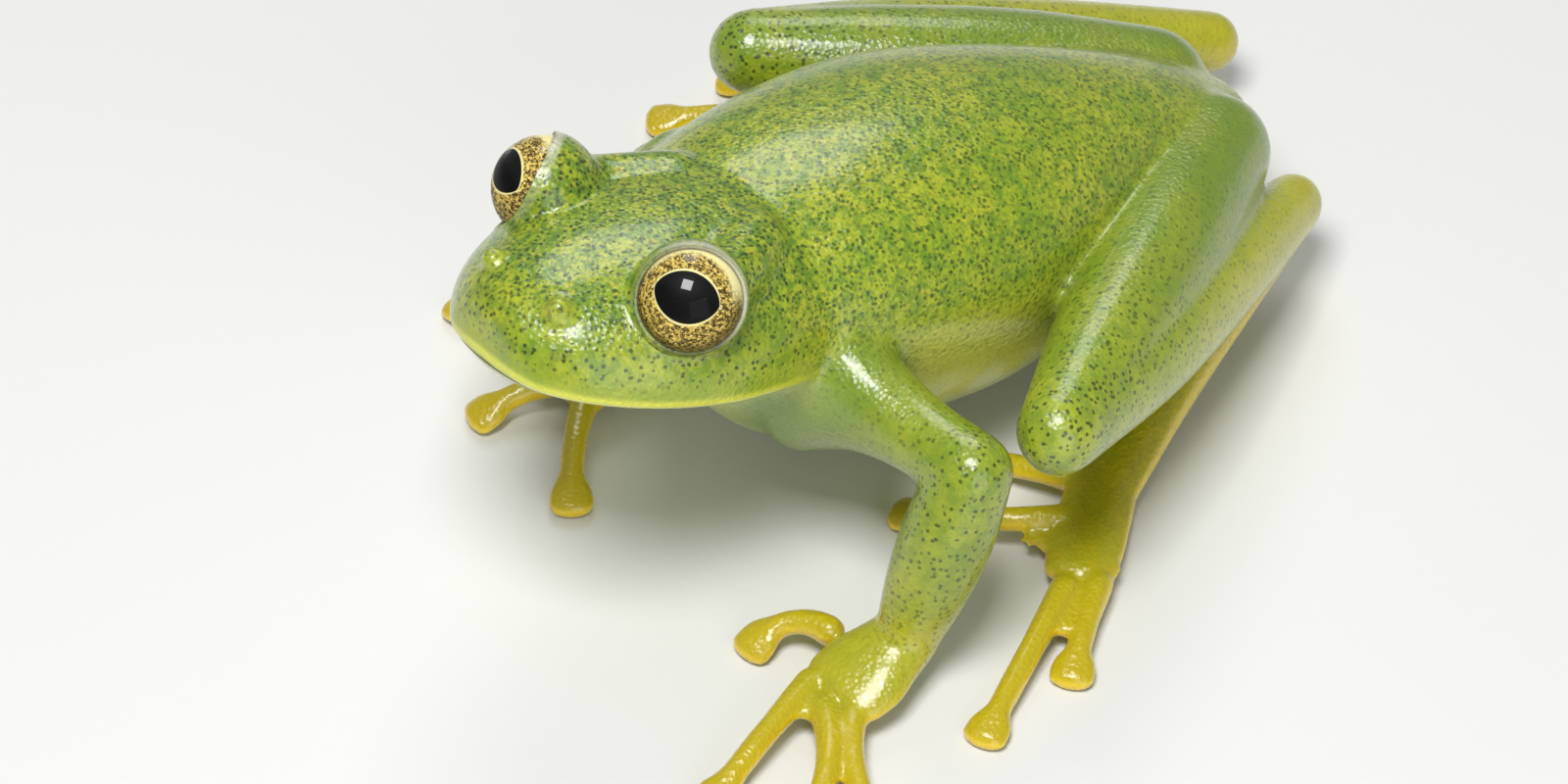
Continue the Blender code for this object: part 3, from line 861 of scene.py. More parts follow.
LIMBS = {
    "upper_arm": Limb(
        "shoulder", "elbow", ((1.95, 2.80), (1.27, 1.60), (1.02, 1.05), (1.05, 1.05)),
        Tones(teal=1.0, dots=0.0), Tones(teal=0.15, dots=0.75, amber=0.05),
    ),
    "forearm": Limb(
        "elbow", "wrist", ((1.05, 1.05), (1.22, 1.18), (1.15, 1.08), (0.90, 0.80)),
        Tones(dots=1.0, teal=0.40), Tones(dots=0.60, teal=0.15, amber=0.25), (1, 0, 0),
    ),
    "hand": Limb(
        "wrist", "knuckles", ((0.90, 0.80), (1.10, 0.70), (1.32, 0.60), (1.30, 0.48)),
        Tones(dots=0.30, amber=0.20, pale=0.30), Tones(amber=0.55, pale=0.10),
    ),
    "thigh": Limb(
        "hip", "knee", ((1.60, 1.65), (1.75, 1.80), (1.55, 1.60), (1.12, 1.15)),
        Tones(teal=0.75, dots=0.15), Tones(teal=0.30, dots=0.95),
    ),
    "shank": Limb(
        "knee", "heel", ((1.12, 1.18), (1.40, 1.42), (1.22, 1.28), (0.85, 0.88)),
        Tones(dots=1.0, pale=0.15), Tones(dots=0.15, amber=0.35, pale=0.35),
    ),
    "tarsus": Limb(
        "heel", "midfoot", ((0.82, 0.85), (0.78, 0.76), (0.78, 0.70), (0.95, 0.50)),
        Tones(amber=0.60, dots=0.10), Tones(amber=0.70, dots=0.15),
    ),
    "foot": Limb(
        "midfoot", "toes", ((0.95, 0.50), (1.00, 0.47), (1.02, 0.44), (0.95, 0.40)),
        Tones(amber=0.75, dots=0.10), Tones(amber=0.90),
    ),
}

JOINTS = {
    Side.LEFT: {
        "shoulder": (2.96, -3.72, 5.80),
        "elbow": (8.55, -2.90, 6.10),
        "wrist": (8.65, -4.95, 1.35),
        "knuckles": (8.85, -7.05, 0.85),
        "hip": (1.60, 10.20, 4.55),
        "knee": (8.80, -0.35, 6.30),
        "heel": (2.79, 12.10, 2.50),
        "midfoot": (7.08, 2.50, 0.85),
        "toes": (8.95, 0.35, 0.65),
    },
    Side.RIGHT: {
        "shoulder": (-3.05, -3.60, 5.80),
        "elbow": (-7.30, -1.60, 3.20),
        "wrist": (-4.30, -4.60, 1.30),
        "knuckles": (-4.30, -6.60, 0.80),
        "hip": (-1.60, 10.50, 4.40),
        "knee": (-7.25, 1.40, 6.25),
        "heel": (-3.95, 14.50, 2.10),
        "midfoot": (-7.10, 6.80, 0.90),
        "toes": (-8.10, 5.40, 0.70),
    },
}

DIGITS = {
    Side.LEFT: {
        "finger_1": Digit((7.00, -6.20, 0.85), -75.0, 2.25, 90.0, 0.20),
        "finger_2": Digit((8.12, -7.60, 0.75), 22.0, 4.40, -4.0, 0.25),
        "finger_3": Digit((9.00, -7.80, 0.72), 66.0, 5.00, -50.0, 0.25),
        "finger_4": Digit((9.30, -6.95, 0.72), 40.5, 4.20, 46.0, 0.20),
        "toe_1": Digit((6.60, 3.40, 0.70), -88.0, 2.60, 6.0, 0.15),
        "toe_2": Digit((6.90, 2.60, 0.75), -52.0, 3.60, -16.0, 0.25),
        "toe_3": Digit((7.50, 1.60, 0.75), -24.0, 4.90, -38.0, 0.30),
        "toe_4": Digit((9.20, -0.30, 0.65), 31.0, 5.20, -2.0, 0.15),
        "toe_5": Digit((9.55, 0.50, 0.62), 40.0, 3.00, 0.0, 0.10),
    },
    Side.RIGHT: {
        "finger_1": Digit((-3.60, -6.50, 0.80), 40.0, 3.60, 18.0, 0.25),
        "finger_2": Digit((-4.35, -6.60, 0.75), -22.0, 2.60, 14.0, 0.20),
        "finger_3": Digit((-5.00, -6.20, 0.75), -66.0, 4.00, -20.0, 0.25),
        "finger_4": Digit((-5.10, -5.60, 0.75), -109.0, 3.20, -14.0, 0.20),
        "toe_1": Digit((-6.60, 6.40, 0.65), 62.0, 2.70, -20.0, 0.15),
        "toe_2": Digit((-7.20, 5.40, 0.70), 32.0, 3.80, -16.0, 0.20),
        "toe_3": Digit((-7.80, 5.00, 0.70), -6.0, 5.00, -8.0, 0.25),
        "toe_4": Digit((-8.30, 5.40, 0.70), -42.0, 5.40, 4.0, 0.20),
        "toe_5": Digit((-8.40, 6.00, 0.65), -62.0, 4.20, 6.0, 0.15),
    },
}


@dataclass
class Limbs:
    """Arms and legs with their fingers, toes and webs."""

    digit_base: float = 0.42
    digit_shaft: float = 0.33
    disc_width: float = 0.60
    disc_height: float = 0.30
    disc_length: float = 0.95
    tip_height: float = 0.26
    knuckle_run: float = 2.5
    disc_swell: float = 1.4
    web_height: float = 0.20
    web_least: float = 0.2
    web_steps: int = 6
    route_steps: int = 24
    digit_mesh: tuple = (24, 40)
    web_mesh: tuple = (20, 16)
    limb_mesh: tuple = (36, 40)
    webs: tuple = (
        ("finger_2", "finger_3", 0.16, 0.12),
        ("finger_3", "finger_4", 0.40, 0.52),
        ("toe_3", "toe_4", 0.10, 0.14),
        ("toe_4", "toe_5", 0.31, 0.52),
    )
    digit_first: Tones = field(default_factory=lambda: Tones(amber=0.85))
    digit_last: Tones = field(default_factory=lambda: Tones(amber=1.0))

    def route(self, side: Side, name: str) -> Places:
        """Points along the middle of a digit, from its knuckle to the middle of its disc.

        Args:
            side: Which side of the frog.
            name: Which digit.

        Returns:
            The points in millimetres.
        """
        digit = DIGITS[side][name]
        x, y, z = digit.base
        count = self.route_steps
        places = []
        for index in range(count + 1):
            t = index / count
            low = z + (self.tip_height - z) * t + digit.arch * math.sin(math.pi * t)
            places.append((x, y, low))
            angle = math.radians(digit.heading + digit.turn * t)
            x += digit.length / count * math.sin(angle)
            y -= digit.length / count * math.cos(angle)
        return np.array(places)

    def digit_form(self, side: Side, name: str) -> bpy.types.Object:
        """Solid of one finger or toe with its flat disc.

        Args:
            side: Which side of the frog.
            name: Which digit.

        Returns:
            The object.
        """
        route = self.route(side, name)
        length = DIGITS[side][name].length
        stations = []
        for place, t in zip(route, np.linspace(0, 1, len(route))):
            shaft = self.digit_base + (self.digit_shaft - self.digit_base) * min(1.0, t * self.knuckle_run)
            near = max(0.0, 1 - (1 - t) * length / self.disc_length)
            swell = math.sin(min(1.0, near * self.disc_swell) * math.pi / 2)**2
            width = shaft + (self.disc_width - shaft) * swell
            height = shaft + (self.disc_height - shaft) * swell
            stations.append((*place, width, height))
        return tube(f"{name}_form", stations[::2], (0, 0, 1), *self.digit_mesh)

    def web_form(self, side: Side, web: tuple) -> bpy.types.Object:
        """Flat web in the fork between two digits.

        Args:
            side: Which side of the frog.
            web: The two digits, and how far the web runs along each.

        Returns:
            The object.
        """
        first, second, first_share, second_share = web
        one, two = self.route(side, first), self.route(side, second)
        stations = []
        for t in np.linspace(0, 1, self.web_steps):
            near = one[int(round(t * first_share * (len(one) - 1)))]
            far = two[int(round(t * second_share * (len(two) - 1)))]
            width = max(self.web_least, np.linalg.norm(near - far) / 2)
            stations.append((*((near + far) / 2), width, self.web_height))
        return tube("web_form", stations, (0, 0, 1), *self.web_mesh)

    def limb_form(self, side: Side, name: str) -> bpy.types.Object:
        """Solid of one limb segment.

        Args:
            side: Which side of the frog.
            name: Which segment.

        Returns:
            The object.
        """
        limb = LIMBS[name]
        first, last = (np.array(JOINTS[side][joint]) for joint in (limb.start, limb.end))
        stations = []
        for index, (width, height) in enumerate(limb.sizes):
            stations.append((*(first + (last - first) * index / (len(limb.sizes) - 1)), width, height))
        return tube(f"{name}_form", stations, limb.up, *self.limb_mesh)

    def forms(self) -> list:
        """Solids of all limbs, digits and webs."""
        pieces = []
        for side in Side:
            pieces += [self.limb_form(side, name) for name in LIMBS]
            pieces += [self.digit_form(side, name) for name in DIGITS[side]]
            pieces += [self.web_form(side, web) for web in self.webs]
        return pieces

    def limb_depth(self, side: Side, name: str, places: Places) -> tuple:
        """How far places lie outside a limb segment, and how far along it.

        Args:
            side: Which side of the frog.
            name: Which segment.
            places: Places in millimetres.

        Returns:
            Distances in millimetres, and shares of the length.
        """
        limb = LIMBS[name]
        first, last = (np.array(JOINTS[side][joint]) for joint in (limb.start, limb.end))
        run = last - first
        share = np.clip((places - first) @ run / (run @ run), 0, 1)
        radii = np.array(limb.sizes).mean(axis=1)
        radius = np.interp(share, np.linspace(0, 1, len(radii)), radii)
        away = np.linalg.norm(places - first - share[:, None] * run, axis=1)
        return away - radius, share

    def digit_depth(self, side: Side, name: str, places: Places) -> tuple:
        """How far places lie outside a digit, and how far along it.

        Args:
            side: Which side of the frog.
            name: Which digit.
            places: Places in millimetres.

        Returns:
            Distances in millimetres, and shares of the length.
        """
        route = self.route(side, name)
        away = np.full(len(places), np.inf)
        share = np.zeros(len(places))
        for index, point in enumerate(route):
            here = np.linalg.norm(places - point, axis=1)
            nearer = here < away
            away[nearer] = here[nearer]
            share[nearer] = index / (len(route) - 1)
        return away - self.digit_shaft, share


class Region:
    """Stretch of skin that belongs to one part of the body."""

    def __init__(self, name: str, off: np.ndarray, share: np.ndarray, first: Tones, last: Tones) -> None:
        """Keep where the region is and how it is marked.

        Args:
            name: Name of the part.
            off: Distance of each vertex from the part.
            share: Place of each vertex along the part.
            first: Markings at its start.
            last: Markings at its end.
        """
        self.name = name
        self.off = off
        self.share = share
        self.first = first
        self.last = last

    def tones(self) -> np.ndarray:
        """Strength of each marking at each vertex."""
        return self.first.row() + (self.last.row() - self.first.row()) * self.share[:, None]


@dataclass(frozen=True)
class Marks:
    """Where the markings, the painted shade and the painted glow lie; each pair is where one is nothing and
    where it is full.
    """

    face_height: Pair = (2.3, 0.9)
    face_back: Pair = (4.5, 2.5)
    flank_level: Pair = (0.35, -0.05)
    flank_front: Pair = (-5.0, -3.0)
    flank_dots: Pair = (-0.50, 0.15)
    flank_dots_share: float = 0.6
    flank_pale_share: float = 0.75
    chin_height: Pair = (0.0, -0.25)
    belly_level: Pair = (-0.25, -0.75)
    dots_over_lip: Pair = (0.15, 0.85)
    lip_band: Pair = (0.22, 0.04)
    lip_back: Pair = (4.2, 2.6)
    mouth_band: Pair = (0.07, 0.02)
    # Where the painted shade in the mouth's crease lies.
    mouth_back: Pair = (3.2, 2.2)
    mouth_share: float = 0.7
    ring_reach: Pair = (2.25, 1.65)
    margin_reach: Pair = (0.20, 0.09)
    margin_share: float = 0.25
    pale_lid: Triple = (0.20, 0.80, 0.45)
    pale_lid_turn: Pair = (-0.35, 0.45)
    nostril_reach: Pair = (0.50, 0.34)
    # Reach of the painted shade in the nostril holes.
    pit_reach: Pair = (0.11, 0.06)
    # Where the painted glow of light through thin edges lies: on sideways-facing, low surfaces.
    edge_slope: Pair = (0.75, 0.15)
    edge_height: Pair = (3.2, 1.6)
    top_slope: Pair = (0.35, 0.9)
    olive_start: Pair = (0.0, 0.25)
    olive_parts: tuple = ("hand", "foot", "tarsus")


@dataclass
class Skin:
    """The frog's whole skin as one piece."""

    head: Head
    trunk: Trunk
    limbs: Limbs
    marks: Marks = Marks()
    name: str = "frog_skin"
    voxel: float = 0.10
    rounds: int = 40
    levels: int = 10
    softness: float = 0.20
    soft_joints: tuple = (("shoulder", 4.0), ("hip", 5.0), ("elbow", 2.0), ("wrist", 1.6))
    joint_gain: float = 1.6
    neck: Triple = (0, 5.2, -0.5)
    neck_reach: float = 7.0
    neck_gain: float = 2.2
    low_height: float = 1.4
    low_run: float = 0.6
    low_share: float = 0.40
    floor_flat: float = 0.05
    floor_block: Triple = (80.0, 80.0, 10.0)
    reach: float = 0.22
    sharp_angle: float = 50.0

    def soft_weights(self, places: Places) -> np.ndarray:
        """How soft the surface is: most at the neck, shoulders and hips, least at the digits."""
        weights = np.full(len(places), self.softness)
        middles = [(self.head.matrix() @ Vector(self.neck), self.neck_reach, self.neck_gain)]
        for side in Side:
            middles += [(JOINTS[side][name], reach, self.joint_gain) for name, reach in self.soft_joints]
        for middle, reach, gain in middles:
            away = np.linalg.norm(places - np.array(middle), axis=1)
            weights = np.maximum(weights, np.clip(gain - gain * away / reach, 0, 1))
        low = np.clip((self.low_height - places[:, 2]) / self.low_run, 0, 1)
        return weights * (1 - self.low_share * low)

    def soften(self, item: bpy.types.Object) -> None:
        """Smooth the joined surface, by its weights."""
        weights = self.soft_weights(corners(item))
        group = item.vertex_groups.new(name="soft")
        for level in range(1, self.levels + 1):
            chosen = np.nonzero(np.round(weights * self.levels).astype(int) == level)[0]
            if len(chosen):
                group.add(chosen.tolist(), level / self.levels, "REPLACE")
        smooth = item.modifiers.new("soften", "SMOOTH")
        smooth.factor = 0.5
        smooth.iterations = self.rounds
        smooth.vertex_group = "soft"
        settle(item)
        item.vertex_groups.clear()

    def under(self) -> bpy.types.Object:
        """Cutter of all that would lie under the floor."""
        form = bmesh.new()
        bmesh.ops.create_cube(form, size=1.0)
        block = Vector(self.floor_block)
        form.transform(Matrix.Diagonal((*(block * MM), 1)))
        form.transform(Matrix.Translation((0, 0, (self.floor_flat - block.z / 2) * MM)))
        return form_object("floor_cut", form)

    def build(self) -> bpy.types.Object:
        """Join the solids, smooth them, and open the lids, nostrils and mouth.

        Returns:
            The skin, in its own modelling axes.
        """
        pieces = [self.trunk.form()] + self.head.forms() + self.limbs.forms()
        skin = pieces[0]
        combine(skin, "UNION", pieces[1:])
        even = skin.modifiers.new("even", "REMESH")
        even.mode = "VOXEL"
        even.voxel_size = self.voxel * MM
        settle(skin)
        self.soften(skin)
        cutters = [self.under(), self.head.mouth()]
        cutters += [self.head.lid_opening(side) for side in Side]
        cutters += [self.head.nostril_pit(side) for side in Side]
        for cutter in cutters:
            combine(skin, "DIFFERENCE", [cutter])
        combine(skin, "UNION", [self.head.lid_margin(side) for side in Side])
        self.largest(skin)
        skin.name = self.name
        skin.data.name = self.name
        return skin

    def largest(self, item: bpy.types.Object) -> None:
        """Keep only the largest closed surface of an object."""
        form = bmesh.new()
        form.from_mesh(item.data)
        bmesh.ops.triangulate(form, faces=form.faces)
        unseen = set(form.verts)
        best: set = set()
        while unseen:
            seed = unseen.pop()
            island = {seed}
            queue = [seed]
            while queue:
                for edge in queue.pop().link_edges:
                    for vert in edge.verts:
                        if vert in unseen:
                            unseen.discard(vert)
                            island.add(vert)
                            queue.append(vert)
            best = max(best, island, key=len)
        bmesh.ops.delete(form, geom=[vert for vert in form.verts if vert not in best], context="VERTS")
        form.to_mesh(item.data)
        form.free()

    def regions(self, places: Places) -> list:
        """The parts of the body, the head and the trunk first.

        Args:
            places: Vertex places in millimetres.

        Returns:
            The regions.
        """
        found = [
            Region("head", *self.head.depth(places), Tones(dense=1.0), Tones(dense=1.0)),
            Region("trunk", *self.trunk.depth(places), Tones(dense=0.85), Tones(dense=0.65)),
        ]
        for side in Side:
            for name, limb in LIMBS.items():
                off, share = self.limbs.limb_depth(side, name, places)
                found.append(Region(name, off, share, limb.first, limb.last))
            for name in DIGITS[side]:
                off, share = self.limbs.digit_depth(side, name, places)
                found.append(Region(name, off, share, self.limbs.digit_first, self.limbs.digit_last))
        return found

    def masks(self, places: Places, normals: Places) -> dict:
        """Strength of each marking, painted shade and painted glow at each vertex.

        Args:
            places: Vertex places in millimetres.
            normals: Vertex normals.

        Returns:
            The strengths by the marking's name.
        """
        regions = self.regions(places)
        off = np.array([region.off for region in regions])
        weights = np.exp(-(off - off.min(axis=0)) / self.reach)
        weights /= weights.sum(axis=0)
        tones = sum(weight[:, None] * region.tones() for weight, region in zip(weights, regions))
        own = self.head.own(places)
        masks = self.body_masks(places, own, weights[0], weights[1], tones)
        masks |= self.eye_masks(own)
        masks |= self.digit_masks(places, normals, regions, weights)
        return masks

    def body_masks(
        self, places: Places, own: Places, head: np.ndarray, trunk: np.ndarray, tones: np.ndarray,
    ) -> dict:
        """Strength of the markings of the head and the trunk, and of the painted shade in the mouth's crease.

        Args:
            places: Vertex places in millimetres.
            own: The same places in the head's axes.
            head: How much each vertex is part of the head.
            trunk: How much it is part of the trunk.
            tones: Strengths that the parts of the body give it.

        Returns:
            The strengths by name.
        """
        marks = self.marks
        dense, dots, teal, amber, pale = tones.T
        level = self.trunk.level(places)
        over_lip = own[:, 2] - self.head.lip(own[:, 1])[1]
        face = head * step(over_lip, *marks.face_height) * step(own[:, 1], *marks.face_back)
        flank = trunk * step(level, *marks.flank_level) * step(places[:, 1], *marks.flank_front)
        belly = step(level, *marks.belly_level) * trunk + step(over_lip, *marks.chin_height) * head
        belly = np.clip(belly, 0, 1)
        flank_dots = flank * step(level, *marks.flank_dots) * marks.flank_dots_share
        dots = dots + face * step(over_lip, *marks.dots_over_lip) + flank_dots
        # Painted shade in a narrow band along the mouth's crease.
        crease = np.abs(over_lip + self.head.mouth_drop)
        mouth = step(crease, *marks.mouth_band) * step(own[:, 1], *marks.mouth_back)
        return {
            "dense": dense * (1 - face) * (1 - flank) * (1 - belly),
            "dots": np.clip(dots * (1 - belly), 0, 1),
            "teal": teal,
            "amber": amber,
            "pale": np.clip(pale + flank * marks.flank_pale_share, 0, 1),
            "belly": belly,
            "lip": head * step(np.abs(over_lip), *marks.lip_band) * step(own[:, 1], *marks.lip_back),
            "mouth": head * mouth * marks.mouth_share,
        }

    def eye_masks(self, own: Places) -> dict:
        """Strength of the markings round the eyes and nostrils, and of the painted shade in the nostril
        holes.

        Args:
            own: Vertex places in the head's axes.

        Returns:
            The strengths by name.
        """
        marks, head = self.marks, self.head
        masks = {name: np.zeros(len(own)) for name in ("ring", "margin", "nostril", "pit")}

        def add(name: str, strength: np.ndarray) -> None:
            """Keep the stronger of two strengths."""
            masks[name] = np.maximum(masks[name], strength)

        for side in Side:
            axis = np.array(head.facing(side))
            away = own - np.array(head.eye(side))
            from_eye = np.linalg.norm(away, axis=1)
            ahead = away @ axis
            around = np.linalg.norm(away - ahead[:, None] * axis, axis=1)
            edge = np.hypot(around - head.eye_radius, ahead - head.lid_ahead + head.lid_edge)
            x, y, z = marks.pale_lid
            turn = (away / from_eye[:, None]) @ np.array((side.value * x, y, z))
            light = marks.margin_share + (1 - marks.margin_share) * step(turn, *marks.pale_lid_turn)
            add("ring", step(from_eye, *marks.ring_reach))
            add("margin", step(edge, *marks.margin_reach) * light)
            nostril = head.nostril_place(side)
            hole = nostril + head.nostril_front(side) * head.nostril_radius
            add("nostril", step(np.linalg.norm(own - np.array(nostril), axis=1), *marks.nostril_reach))
            # Painted shade in the nostril hole.
            add("pit", step(np.linalg.norm(own - np.array(hole), axis=1), *marks.pit_reach))
        return masks

    def digit_masks(self, places: Places, normals: Places, regions: list, weights: np.ndarray) -> dict:
        """Strength of the painted glow of light through the thin edges, and of the olive backs, of the hands,
        feet and digits.

        Args:
            places: Vertex places in millimetres.
            normals: Vertex normals.
            regions: The parts of the body.
            weights: How much each vertex is part of each.

        Returns:
            The strengths by name.
        """
        marks = self.marks
        # Painted glow where the surface faces sideways, standing in for light through thin tissue.
        upright = step(np.abs(normals[:, 2]), *marks.edge_slope)
        top = step(normals[:, 2], *marks.top_slope)
        olive = np.zeros(len(places))
        for region, weight in zip(regions, weights):
            if region.name in marks.olive_parts:
                olive += weight * top * step(region.share, *marks.olive_start)
        return {"edge": upright * step(places[:, 2], *marks.edge_height), "olive": olive}

    def dress(self, skin: bpy.types.Object) -> None:
        """Put the markings, the painted shade and glow, and the finish on the skin."""
        mesh = skin.data
        normals = np.empty(len(mesh.vertices) * 3, dtype=np.float32)
        mesh.vertices.foreach_get("normal", normals)
        masks = self.masks(corners(skin), normals.reshape(-1, 3).astype(float))
        for name, values in masks.items():
            layer = mesh.attributes.new(name, "FLOAT", "POINT")
            layer.data.foreach_set("value", np.clip(values, 0, 1).astype(np.float32))
        mesh.materials.clear()
        mesh.materials.append(WetSkin().make())
        mesh.shade_smooth()
        mesh.set_sharp_from_angle(angle=math.radians(self.sharp_angle))


@dataclass(frozen=True)
class WetSkin:
    """Finish of the wet, stippled skin, with painted shade and painted glow in places; scales are in waves or
    points to a millimetre.
    """

    name: str = "wet_frog_skin"
    broad_scale: float = 0.55
    broad_edge: Pair = (0.35, 0.65)
    patch_scale: float = 2.6
    patch_edge: Pair = (0.46, 0.62)
    mottle_edge: Pair = (0.40, 0.62)
    olive_edge: Pair = (0.30, 0.60)
    fine_scale: float = 8.0
    fine_edge: Pair = (0.40, 0.60)
    fleck_scale: float = 3.4
    fleck_edge: Pair = (0.58, 0.70)
    spot_push: Pair = (0.09, 9.0)
    spot_scale: float = 6.0
    spot_edge: Pair = (0.40, 0.24)
    net_scale: float = 7.5
    net_edge: Pair = (0.50, 0.38)
    speck_push: Pair = (0.06, 14.0)
    speck_scale: float = 5.3
    speck_edge: Pair = (0.36, 0.23)
    grain: float = 7.5
    grain_strength: float = 0.60
    grain_depth: float = 0.040
    fold_scale: float = 1.6
    fold_strength: float = 0.30
    fold_depth: float = 0.12
    roughness: float = 0.30
    roughness_play: float = 0.18
    gloss: float = 0.55
    coat: float = 0.65
    coat_roughness: float = 0.16
    glow: float = 0.22
    glow_reach: Triple = (1.0, 0.75, 0.18)
    glow_depth: float = 0.45

    def make(self) -> bpy.types.Material:
        """Build the material.

        Returns:
            The material.
        """
        board = Board(self.name)
        place = board.place()
        fine = board.noise(place, self.fine_scale, 2.0, 0.6)
        colour: Wire | Hue = Hue.LEAF
        for share, hue in self.layers(board, place, fine):
            colour = board.blend(share, colour, hue)
        folds = board.noise(place, self.fold_scale, 3.0, 0.6)
        relief = board.bump(folds, self.fold_strength, self.fold_depth)
        relief = board.bump(board.cells(place, self.grain), self.grain_strength, self.grain_depth, relief)
        board.set({
            "Base Color": colour,
            "Roughness": self.roughness + (fine - 0.5) * self.roughness_play,
            "Normal": relief,
            "Subsurface Weight": self.glow,
            "Subsurface Radius": self.glow_reach,
            "Subsurface Scale": self.glow_depth * MM,
            "Specular IOR Level": self.gloss,
            "Coat Weight": self.coat,
            "Coat Roughness": self.coat_roughness,
        })
        return board.material

    def layers(self, board: Board, place: Wire, fine: Wire) -> tuple:
        """Colours that lie over the green ground, from the lowest to the highest.

        Args:
            board: The board of the material.
            place: Place in millimetres.
            fine: The finest noise.

        Returns:
            Share and colour of each layer.
        """
        mask = board.mask
        dense, dots, amber = mask("dense"), mask("dots"), mask("amber")
        broad = board.noise(place, self.broad_scale, 3.0, 0.6)
        patch = board.noise(place, self.patch_scale, 3.0, 0.65)
        fleck = board.noise(place, self.fleck_scale, 2.0, 0.55).rise(*self.fleck_edge)
        bent = board.shifted(place, *self.spot_push)
        spot = board.cells(bent, self.spot_scale).rise(*self.spot_edge)
        net = board.noise(bent, self.net_scale, 1.0, 0.5).rise(*self.net_edge)
        speck = board.cells(board.shifted(place, *self.speck_push), self.speck_scale).rise(*self.speck_edge)
        return (
            (broad.rise(*self.broad_edge), Hue.LIME),
            (dense * patch.rise(*self.patch_edge) * 0.80, Hue.MOSS),
            (dense * (fleck * fine.rise(*self.fine_edge)) * 0.75, Hue.FLECK),
            (dots * patch.rise(*self.mottle_edge) * 0.55, Hue.MOSS),
            (mask("pale"), Hue.PALE),
            (mask("teal") * 0.90, Hue.TEAL),
            (mask("ring") * 0.12, Hue.MOSS),
            (amber, Hue.AMBER),
            (mask("olive") * patch.rise(*self.olive_edge) * 0.70, Hue.OLIVE),
            # Painted glow of light through the thin, sideways-facing edges of the amber digits.
            (amber * mask("edge") * 0.80, Hue.GOLD_EDGE),
            (mask("belly"), Hue.BELLY),
            (dense * net * 0.65, Hue.MOSS),
            (dense * spot * 0.88, Hue.DEEP),
            ((dots * 0.90 + dense * 0.50).least(1.0) * speck * 0.90, Hue.DOT),
            (mask("lip"), Hue.LIP),
            (mask("nostril") * 0.30, Hue.PALE),
            (mask("margin") * 0.85, Hue.LID),
            # Painted shade in the mouth's crease.
            (mask("mouth"), Hue.MOUTH),
            # Painted shade in the nostril holes.
            (mask("pit") * 0.60, Hue.MOUTH),
        )


@dataclass(frozen=True)
class EyeGlaze:
    """Finish of an eye: gold iris, black pupil, a clear wet front and painted shade where the lids cover it.
    """

    name: str
    pupil_half_length: float
    pupil_half_height: float
    pupil_point: float = 0.62
    pupil_edge: Pair = (-0.012, 0.012)
    low_edge: Pair = (0.02, -0.02)
    low_swell: float = 0.10
    rim_edge: Pair = (-0.085, -0.03)
    rim_run: float = 0.10
    net_push: Pair = (0.08, 9.0)
    net_scale: float = 11.0
    net_edge: Pair = (0.54, 0.47)
    net_strength: float = 0.30
    net_depth: float = 0.03
    grit_scale: float = 15.0
    grit_edge: Pair = (0.38, 0.66)
    grit_play: float = 0.20
    outer_edge: Pair = (0.90, 0.72)
    shade_edge: Pair = (0.80, 0.45)
    high_edge: Pair = (0.10, 0.70)
    coat_edge: Pair = (0.0, 0.22)
    coat_least: float = 0.15
    coat_roughness: float = 0.02
    coat_bend: float = 1.38
    roughness: float = 0.5
    gloss: float = 0.1

    def make(self) -> bpy.types.Material:
        """Build the material. The object's Z axis points out through the pupil.

        Returns:
            The material.
        """
        board = Board(self.name)
        place = board.place()
        axes = board.node("ShaderNodeSeparateXYZ", {}, {0: place}, "X").socket.node.outputs
        across, upward, ahead = (Wire(board, axes[letter]) for letter in "XYZ")
        share = across / self.pupil_half_length
        lens = (1 - (share * share).least(1.0)) ** self.pupil_point
        tall = self.pupil_half_height * (1 + upward.rise(*self.low_edge) * self.low_swell)
        inside = lens * tall - self.size(board, upward)
        beside = self.size(board, across).rise(self.pupil_half_length + self.rim_run, self.pupil_half_length)
        net = board.noise(board.shifted(place, *self.net_push), self.net_scale, 3.0, 0.75)
        grit = board.noise(place, self.grit_scale, 1.0, 0.5)
        outer = (ahead + (grit - 0.5) * self.grit_play).rise(*self.outer_edge)
        high = upward.rise(*self.high_edge)
        colour = board.blend(grit.rise(*self.grit_edge), Hue.IRIS, Hue.IRIS_BRIGHT)
        layers = (
            (net.rise(*self.net_edge) * 0.95, Hue.IRIS_DARK),
            (ahead.rise(*self.shade_edge) * (1 - high) * 0.55, Hue.IRIS_DARK),
            (outer * high * 0.95, Hue.CREAM),
            (inside.rise(*self.rim_edge) * beside * 0.85, Hue.CREAM),
            # Painted shade on the eyeball where the lids cover it.
            (board.mask("lid_line") * 0.90, Hue.LID_LINE),
            (inside.rise(*self.pupil_edge), Hue.PUPIL),
        )
        for amount, hue in layers:
            colour = board.blend(amount, colour, hue)
        board.set({
            "Base Color": colour,
            "Roughness": self.roughness,
            "Specular IOR Level": self.gloss,
            "Normal": board.bump(net, self.net_strength, self.net_depth),
            "Coat Weight": self.coat_least + upward.rise(*self.coat_edge) * (1 - self.coat_least),
            "Coat Roughness": self.coat_roughness,
            "Coat IOR": self.coat_bend,
        })
        return board.material

    @staticmethod
    def size(board: Board, value: Wire) -> Wire:
        """Size of a value without its sign."""
        return board.node("ShaderNodeMath", {"operation": "ABSOLUTE"}, {0: value})


